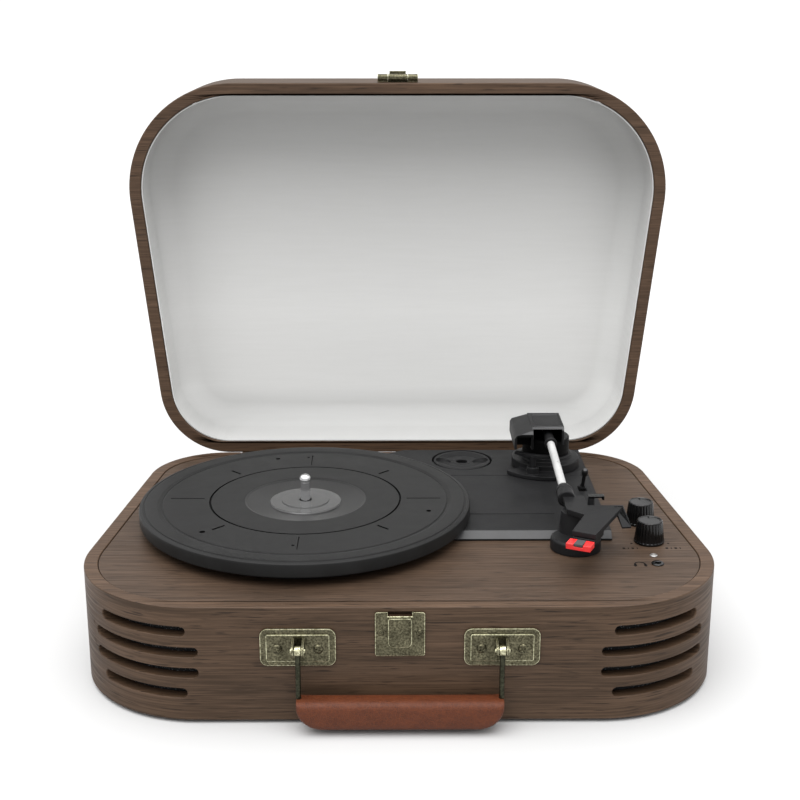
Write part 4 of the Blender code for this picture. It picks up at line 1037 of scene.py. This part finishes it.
def make_knob(name, body, node):
    """A tapered knob with rounded flutes, a bright rim and a pointer line on its dished top."""
    low, high = corners(node)
    centre = (low + high) / 2
    top, foot = high.z, PANEL_TOP + GAP
    cap = [
        (0, top - 0.7), (5.6, top - 0.6), (6.3, top - 0.35), (6.7, top), (7.0, top - 0.05),
        (7.3, top - 0.4),
    ]
    skirt = [
        (7.45, top - 1.0), (7.7, top - 3.0), (8.05, top - 6.0), (8.4, top - 9.0), (8.65, foot + 2.0),
        (8.75, foot + 1.3),
    ]
    base = [(8.9, foot + 1.0), (8.9, foot + 0.2), (8.7, foot), (3.0, foot), (3.0, 55), (0, 55)]
    knob = turned(cap + skirt + base, steps=144)
    flutes, depth = 24, 0.3
    for vertex in knob.data.vertices:
        x, y, z = vertex.co
        if (foot + 1.1) * MM < z < (top - 0.6) * MM and hypot(x, y) > 7.0 * MM:
            groove = max(0.0, cos(flutes * atan2(y, x))) ** 1.5
            shrink = 1 - depth * MM * groove / hypot(x, y)
            vertex.co = (x * shrink, y * shrink, z)
    line = block((0.8, 4.2, 0.5), (0, 4.6, top - 0.55))
    knob = cut(knob, line)
    knob.data.transform(shift(centre.x, centre.y, 0))
    piece(knob, name, body, "gloss", node, smooth=30)


def flat_mark(outline, name):
    """A printed mark, a tenth of a millimetre proud of the top panel."""
    piece(slab([outline], PANEL_TOP + 0.02, PANEL_TOP + 0.1), name, "base", "ink")


def make_controls():
    make_knob("fluted_volume_knob", "volume", "volume_knob")
    make_knob("fluted_mode_knob", "mode", "mode_knob")
    for side, hand in SIDES:
        flat_mark(circle((KNOB_X + side * 10.8, MODE_Y - 3.0), 0.7, 16), f"mode_dot_{hand}")
        flat_mark(circle((KNOB_X + side * 10.8, VOLUME_Y - 3.0), 0.7, 16), f"volume_dot_{hand}")
        for index in range(4):
            x = KNOB_X + side * 12.5 + 2.6 * (index - 1.5)
            width = 0.6 if index % 2 else 1.5
            tick = rounded_rectangle(width, 1.9, 0.2, (x, MODE_Y - 10.2), 2)
            flat_mark(tick, f"scale_tick_{hand}_{index + 1}")

    level = PANEL_TOP
    dome = [
        (0, level + 0.7), (0.7, level + 0.65), (1.2, level + 0.45), (1.5, level + 0.1),
        (1.6, level - 0.3),
    ]
    lens = turned(dome + [(1.6, 58), (0, 58)], (*LENS, 0), 32)
    piece(lens, "pilot_lens", "base", "lens", "led_lens")
    ring = [
        (1.65, level + 0.15), (1.75, level + 0.35), (2.1, level + 0.2), (2.2, level + 0.02),
        (1.65, level + 0.02),
    ]
    piece(turned(ring, (*LENS, 0), 32, True), "pilot_bezel", "base", "steel", slot="lens")

    bezel = [(1.8, 54), (1.8, level + 0.6), (2.1, level + 0.9), (3.2, level + 0.9), (3.6, level + 0.5)]
    shank = [(3.6, level + GAP), (2.9, level + GAP), (2.9, 62), (5.0, 62), (5.0, 50), (0, 50), (0, 54)]
    jack = turned(bezel + shank, (*JACK, 0), 48, True)
    piece(jack, "headphone_socket", "base", "gloss", "headphone_jack")

    x, y = JACK[0] - 10.0, JACK[1] - 0.4
    start, end = radians(-35), radians(215)
    flat_mark(arc((x, y), 3.3, start, end, 24) + arc((x, y), 2.5, end, start, 24), "headphone_mark_band")
    for side, hand in SIDES:
        flat_mark(rounded_rectangle(1.7, 3.0, 0.6, (x + side * 2.9, y - 1.6), 3), f"headphone_mark_{hand}")


# ---------------------------------------------------------------- hardware


def make_latch():
    low, high = corners("latch_plate")
    width, y = high.x - low.x, FRONT_Y - GAP
    plate = upright_plate(width, high.z - low.z, 1.2, (0, (low.z + high.z) / 2), 0.6, y - 0.6, 4)
    notch = block((12.8, 4.0, 4.8), (0, y - 0.6, high.z))
    window = block((9.6, 4.0, 13.0), (0, y - 0.6, 53.2))
    hardware(cut(plate, notch, window), "latch_backplate", "base", "latch_plate")
    for side, hand in SIDES:
        screw_head(side * 10.2, y - 1.15, 54.0, 1.7, f"latch_screw_{hand}", "base", height=0.7)

    face = y - 1.2 - GAP
    outline = [(-6.3, 62.2), (-5.5, 63.0), (5.5, 63.0), (6.3, 62.2)]
    outline += arc((3.3, 49.4), 3.0, 0.0, -pi / 2, 8) + arc((-3.3, 49.4), 3.0, -pi / 2, -pi, 8)
    thumb = upright(slab([outline], -0.9, 0.9), face - 0.9)
    tongue = block((8.6, 1.6, 8.0), (0, face + 0.5, 53.9))
    hardware(join(thumb, tongue), "latch_button", "thumb", "latch_thumb")


def make_brackets():
    y = FRONT_Y - GAP
    for side, hand in SIDES:
        node = f"handle_bracket_{hand}"
        centre = middle(node)
        x, z = centre.x, centre.z
        plate = upright_plate(40.2, 21.4, 4.2, (x, z), 0.6, y - 0.6)
        hardware(plate, f"bracket_plate_{hand}", "base", node, width=0.4)
        # The pan's bevelled edges are painted bright: wear and painted highlight.
        pan = soften(upright_plate(33.8, 15.7, 1.2, (x, z), 0.9, y - 1.2), 0.5, 2, edge_material=1)
        eye_x = side * ROD_X
        pan = cut(pan, block((4.0, 1.6, 5.2), (eye_x, y - 2.0, z + 4.0)))
        piece(pan, f"bracket_pan_{hand}", "base", ("brass", "worn"))
        for offset in (-2.7, 2.7):
            ear = [(-y + 0.4, z - 4.8), (-y + 0.4, z + 6.2), (-HANDLE.y - 1.2, z + 5.2)]
            ear += arc((-HANDLE.y, HANDLE.z), 3.0, pi / 2, -pi / 2, 14)
            ear = slab([ear], -0.55, 0.55)
            stand = Matrix(((0, 0, 1, 0), (-1, 0, 0, 0), (0, 1, 0, 0), (0, 0, 0, 1)))
            ear.data.transform(Matrix.Translation(((eye_x + offset) * MM, 0, 0)) @ stand)
            ear.data.flip_normals()
            which = "inner" if offset * side < 0 else "outer"
            hardware(ear, f"bracket_ear_{hand}_{which}", "base", width=0.22)
        for offset, letter in ((-10.9, "a"), (10.9, "b")):
            screw_head(x + offset, y - 2.05, z - 0.4, 2.7, f"bracket_screw_{hand}_{letter}", "base")
        pin = rod_along_x(1.15, eye_x - 4.1, eye_x + 4.1, HANDLE.y, HANDLE.z, 24, 0.25)
        piece(pin, f"bracket_pin_{hand}", "base", "worn", f"handle_pin_{hand}")


def make_handle():
    low, high = corners("handle_grip")
    bend, level = 3.0, 10.0
    left = [(-ROD_X, HANDLE.z - 1.5), (-ROD_X, level + bend)]
    left += arc((-ROD_X + bend, level + bend), bend, pi, 1.5 * pi, 8)[1:]
    path = [(x, HANDLE.y, z) for x, z in left + [(-x, z) for x, z in reversed(left)]]
    bail = tube_along(path, 1.4, 24)
    ends = (-ROD_X, ROD_X)
    eyes = [rod_along_x(2.6, x - 1.8, x + 1.8, HANDLE.y, HANDLE.z, 32, 0.3) for x in ends]
    bores = [rod_along_x(1.3, x - 3, x + 3, HANDLE.y, HANDLE.z, 24) for x in ends]
    bail = cut(join(bail, *eyes), *bores)
    piece(bail, "handle_wire", "handle", ("rod", "worn"), "handle_bail")
    # The eyes at the wire's top are painted bright: wear and painted highlight.
    paint(bail, 1, lambda _, at: at.z > HANDLE.z - 2.7)

    half_length, half_depth, corner = (high.x - low.x) / 2 - 1.1, (high.y - low.y) / 2, 13.5
    stations = [half_length * sin(radians(a)) for a in range(-90, 91, 3)]
    rings = []
    for x in stations:
        over = max(0.0, abs(x) - (half_length - corner))
        bottom = low.z + corner - sqrt(max(0.0, corner**2 - over**2))
        end = min(1.0, (half_length - abs(x)) / 2.2)
        pinch = 0.8 + 0.2 * sqrt(max(0.0, 1 - (1 - end) ** 2))
        tall, deep = (high.z - bottom) / 2, half_depth * pinch
        ring = []
        for k in range(48):
            a = 2 * pi * k / 48
            c, s = cos(a), sin(a)
            power = 2 / 3.4
            y = HANDLE.y + deep * copysign(abs(c) ** power, c)
            ring.append((x, y, (high.z + bottom) / 2 + tall * copysign(abs(s) ** power, s)))
        rings.append(ring)
    grip = loft(rings)
    piece(grip, "leather_grip", "handle", "leather", "handle_grip", smooth=50)


# ---------------------------------------------------------------- lid


def make_lid():
    wall = soften(slab([case_outline(), case_outline(WALL)], LID_BOTTOM, LID_TOP), 0.9, 4)
    map_grain(wall, around=True)
    piece(wall, "lid_band", "lid", ("band", "rim"), "lid_wall", lid=True)
    paint(wall, 1, lambda normal, _: normal.y < -0.7)

    inside = WALL + GAP
    top = LID_TOP - 0.5
    panel = soften(slab([case_outline(inside)], top - 6.0, top), 0.3, 2)
    piece(map_grain(panel), "lid_veneer", "lid", "top", "lid_panel", lid=True)

    back, fillet, thick = top - 6.0 - GAP - 0.3, 15.0, 0.7
    rings = []
    for skin in (thick, 0.0):
        rows = [(inside + skin, LID_BOTTOM + 1.0), (inside + skin, back - skin - fillet)]
        for degrees in range(9, 91, 9):
            a = radians(degrees)
            inset, height = fillet * (1 - cos(a)), fillet * (1 - sin(a))
            rows.append((inside + skin + inset, back - skin - height))
        rings.append([[(x, y, height) for x, y in case_outline(inset, 24)] for inset, height in rows])
    inner, outer = rings
    lining = loft(list(reversed(inner)) + outer)
    piece(lining, "lid_cloth_lining", "lid", "lining", "lid_lining", lid=True, smooth=60)
    make_hinges()
    make_lid_latch()


def make_hinges():
    clear, length, leaf, width = HINGE_CLEARANCE, 13.0, 0.8, 30.0
    y = REAR_Y + GAP + leaf / 2
    for side, hand in SIDES:
        x = side * HINGE_X
        for sign, spans, body, node, on_lid in (
            (-1, ((-15.0, -5.2), (5.2, 15.0)), "base", f"hinge_base_{hand}", False),
            (1, ((-4.9, 4.9),), "lid", f"hinge_lid_{hand}", True),
        ):
            centre = HINGE.z + sign * (clear + length / 2)
            shape = upright_plate(width, length, 1.2, (x, centre), leaf / 2, y, 4)
            tools, bores = [], []
            for low, high in spans:
                size = (high - low, leaf, clear + 1.0)
                tools.append(block(size, (x + (low + high) / 2, y, HINGE.z + sign * (clear + 1.0) / 2)))
                tools.append(rod_along_x(1.6, x + low, x + high, HINGE.y, HINGE.z, 32))
                bores.append(rod_along_x(0.95, x + low - 1, x + high + 1, HINGE.y, HINGE.z, 24))
            shape = cut(join(shape, *tools), *bores)
            hardware(shape, f"brass_{node}", body, node, width=0.15, angle=50, lid=on_lid)
            for offset, letter in ((-10, "a"), (0, "b"), (10, "c")):
                name = f"{node}_screw_{letter}"
                screw_head(x + offset, y + 0.3, centre, 1.7, name, body, facing=-90, lid=on_lid, height=0.7)
        pin = rod_along_x(0.85, x - 15.4, x + 15.4, HINGE.y, HINGE.z, 24, 0.2)
        piece(pin, f"brass_hinge_pin_{hand}", "base", "worn", f"hinge_pin_{hand}")


def make_lid_latch():
    y, half, width = FRONT_Y - GAP - 0.5, 6.3, 26.4
    hasp_y, hasp_z = FRONT_Y - 3.2, 72.2
    plate = upright_plate(width, 14.0, 1.2, (0, 82.0), 0.5, y, 4)
    tools = []
    for low, high in ((-width / 2, -half - 0.3), (half + 0.3, width / 2)):
        tools.append(block((high - low, 1.0, 6.0), ((low + high) / 2, y, 74.6)))
        tools.append(rod_along_x(2.2, low, high, hasp_y, hasp_z, 32))
    bore = rod_along_x(0.95, -20, 20, hasp_y, hasp_z, 24)
    shape = cut(join(plate, *tools), bore)
    hardware(shape, "lid_latch_knuckles", "lid", "lid_latch_plate", width=0.25, angle=50, lid=True)
    for side, hand in SIDES:
        screw_head(side * 9.0, y - 0.4, 83.5, 1.8, f"lid_latch_screw_{hand}", "lid", lid=True, height=0.7)

    barrel = rod_along_x(2.2, -half, half, hasp_y, hasp_z, 32)
    stub = rod_along_x(0.85, -12.6, 12.6, hasp_y, hasp_z, 24)
    tongue = block((12.0, 1.2, 8.2), (0, hasp_y - 0.4, hasp_z + 4.1))
    hook = block((10.8, 3.6, 1.2), (0, hasp_y - 2.0, hasp_z + 7.6))
    hasp = join(barrel, stub, tongue, hook)
    hardware(hasp, "folding_hasp", "hasp", "latch_hasp", width=0.25, angle=50, lid=True)


# ---------------------------------------------------------------- inner pieces


def finish_inner_nodes():
    """Pieces inside the case keep their CAD shapes and get a finish."""
    finishes = {
        "speaker_left": "steel",
        "speaker_right": "steel",
        "motor": "steel",
        "motor_pulley": "gold",
        "drive_belt": "rubber",
        "volume_pot": "steel",
        "mode_switch": "steel",
        "circuit_board": "circuit",
    }
    for node, key in finishes.items():
        obj = frame["nodes"][node]
        obj.data.materials.clear()
        obj.data.materials.append(M[key])


# ---------------------------------------------------------------- stage


def make_stage():
    floor_finish = Finish("studio_floor", (0.52, 0.52, 0.52), 0.8, Specular_IOR_Level=0.1)
    cloud = floor_finish.noise(floor_finish.place(), 3.0, 2.0)
    floor_finish.feed("Base Color", floor_finish.mix(cloud, (0.515, 0.515, 0.515), (0.525, 0.525, 0.525)))
    reach = 20000
    floor = slab([[(-reach, -reach), (reach, -reach), (reach, reach), (-reach, reach)]], -20.0, 0.0)
    floor.name = "studio_floor"
    floor.data.materials.append(floor_finish.material)

    world = bpy.data.worlds.new("studio")
    bpy.context.scene.world = world
    world.use_nodes = True
    tree = world.node_tree
    dome = tree.nodes["Background"]
    dome.inputs["Strength"].default_value = 2.4
    backdrop = tree.nodes.new("ShaderNodeBackground")
    backdrop.inputs["Color"].default_value = (1.0, 1.0, 1.0, 1.0)
    backdrop.inputs["Strength"].default_value = 1.1
    place = tree.nodes.new("ShaderNodeTexCoord")
    split = tree.nodes.new("ShaderNodeSeparateXYZ")
    height = tree.nodes.new("ShaderNodeValToRGB")
    height.color_ramp.elements[0].color = (0.06, 0.06, 0.06, 1.0)
    path = tree.nodes.new("ShaderNodeLightPath")
    choose = tree.nodes.new("ShaderNodeMixShader")
    for source, target in (
        (place.outputs["Generated"], split.inputs[0]),
        (split.outputs["Z"], height.inputs["Fac"]),
        (height.outputs["Color"], dome.inputs["Color"]),
        (path.outputs["Is Camera Ray"], choose.inputs[0]),
        (dome.outputs[0], choose.inputs[1]),
        (backdrop.outputs[0], choose.inputs[2]),
        (choose.outputs[0], tree.nodes["World Output"].inputs["Surface"]),
    ):
        tree.links.new(source, target)

    sun = bpy.data.lights.new("key", "SUN")
    sun.energy = 2.2
    sun.angle = radians(60)
    obj = bpy.data.objects.new("key", sun)
    bpy.context.scene.collection.objects.link(obj)
    obj.location = (-0.3, -0.6, 1.7)
    obj.rotation_euler = (-obj.location).to_track_quat("-Z", "Y").to_euler()


def make_camera():
    """A little above the open case and a touch left of its middle, looking along +Y."""
    camera = bpy.data.cameras.new("camera")
    camera.sensor_width = 36.0
    camera.lens = 61.2
    obj = bpy.data.objects.new("camera", camera)
    bpy.context.scene.collection.objects.link(obj)
    obj.location = (-3.8 * MM, (-780.0 + CASE_Y) * MM, 374.7 * MM)
    obj.rotation_euler = (radians(90 - 16.5), 0.0, radians(-0.333))
    bpy.context.scene.camera = obj
    bpy.context.scene.view_settings.view_transform = "Standard"


make_camera()
make_case()
make_grilles()
make_sockets()
make_deck()
make_platter()
make_arm_base()
make_hood()
make_arm()
make_arm_rest()
make_controls()
make_latch()
make_brackets()
make_handle()
make_lid()
finish_inner_nodes()
make_stage()
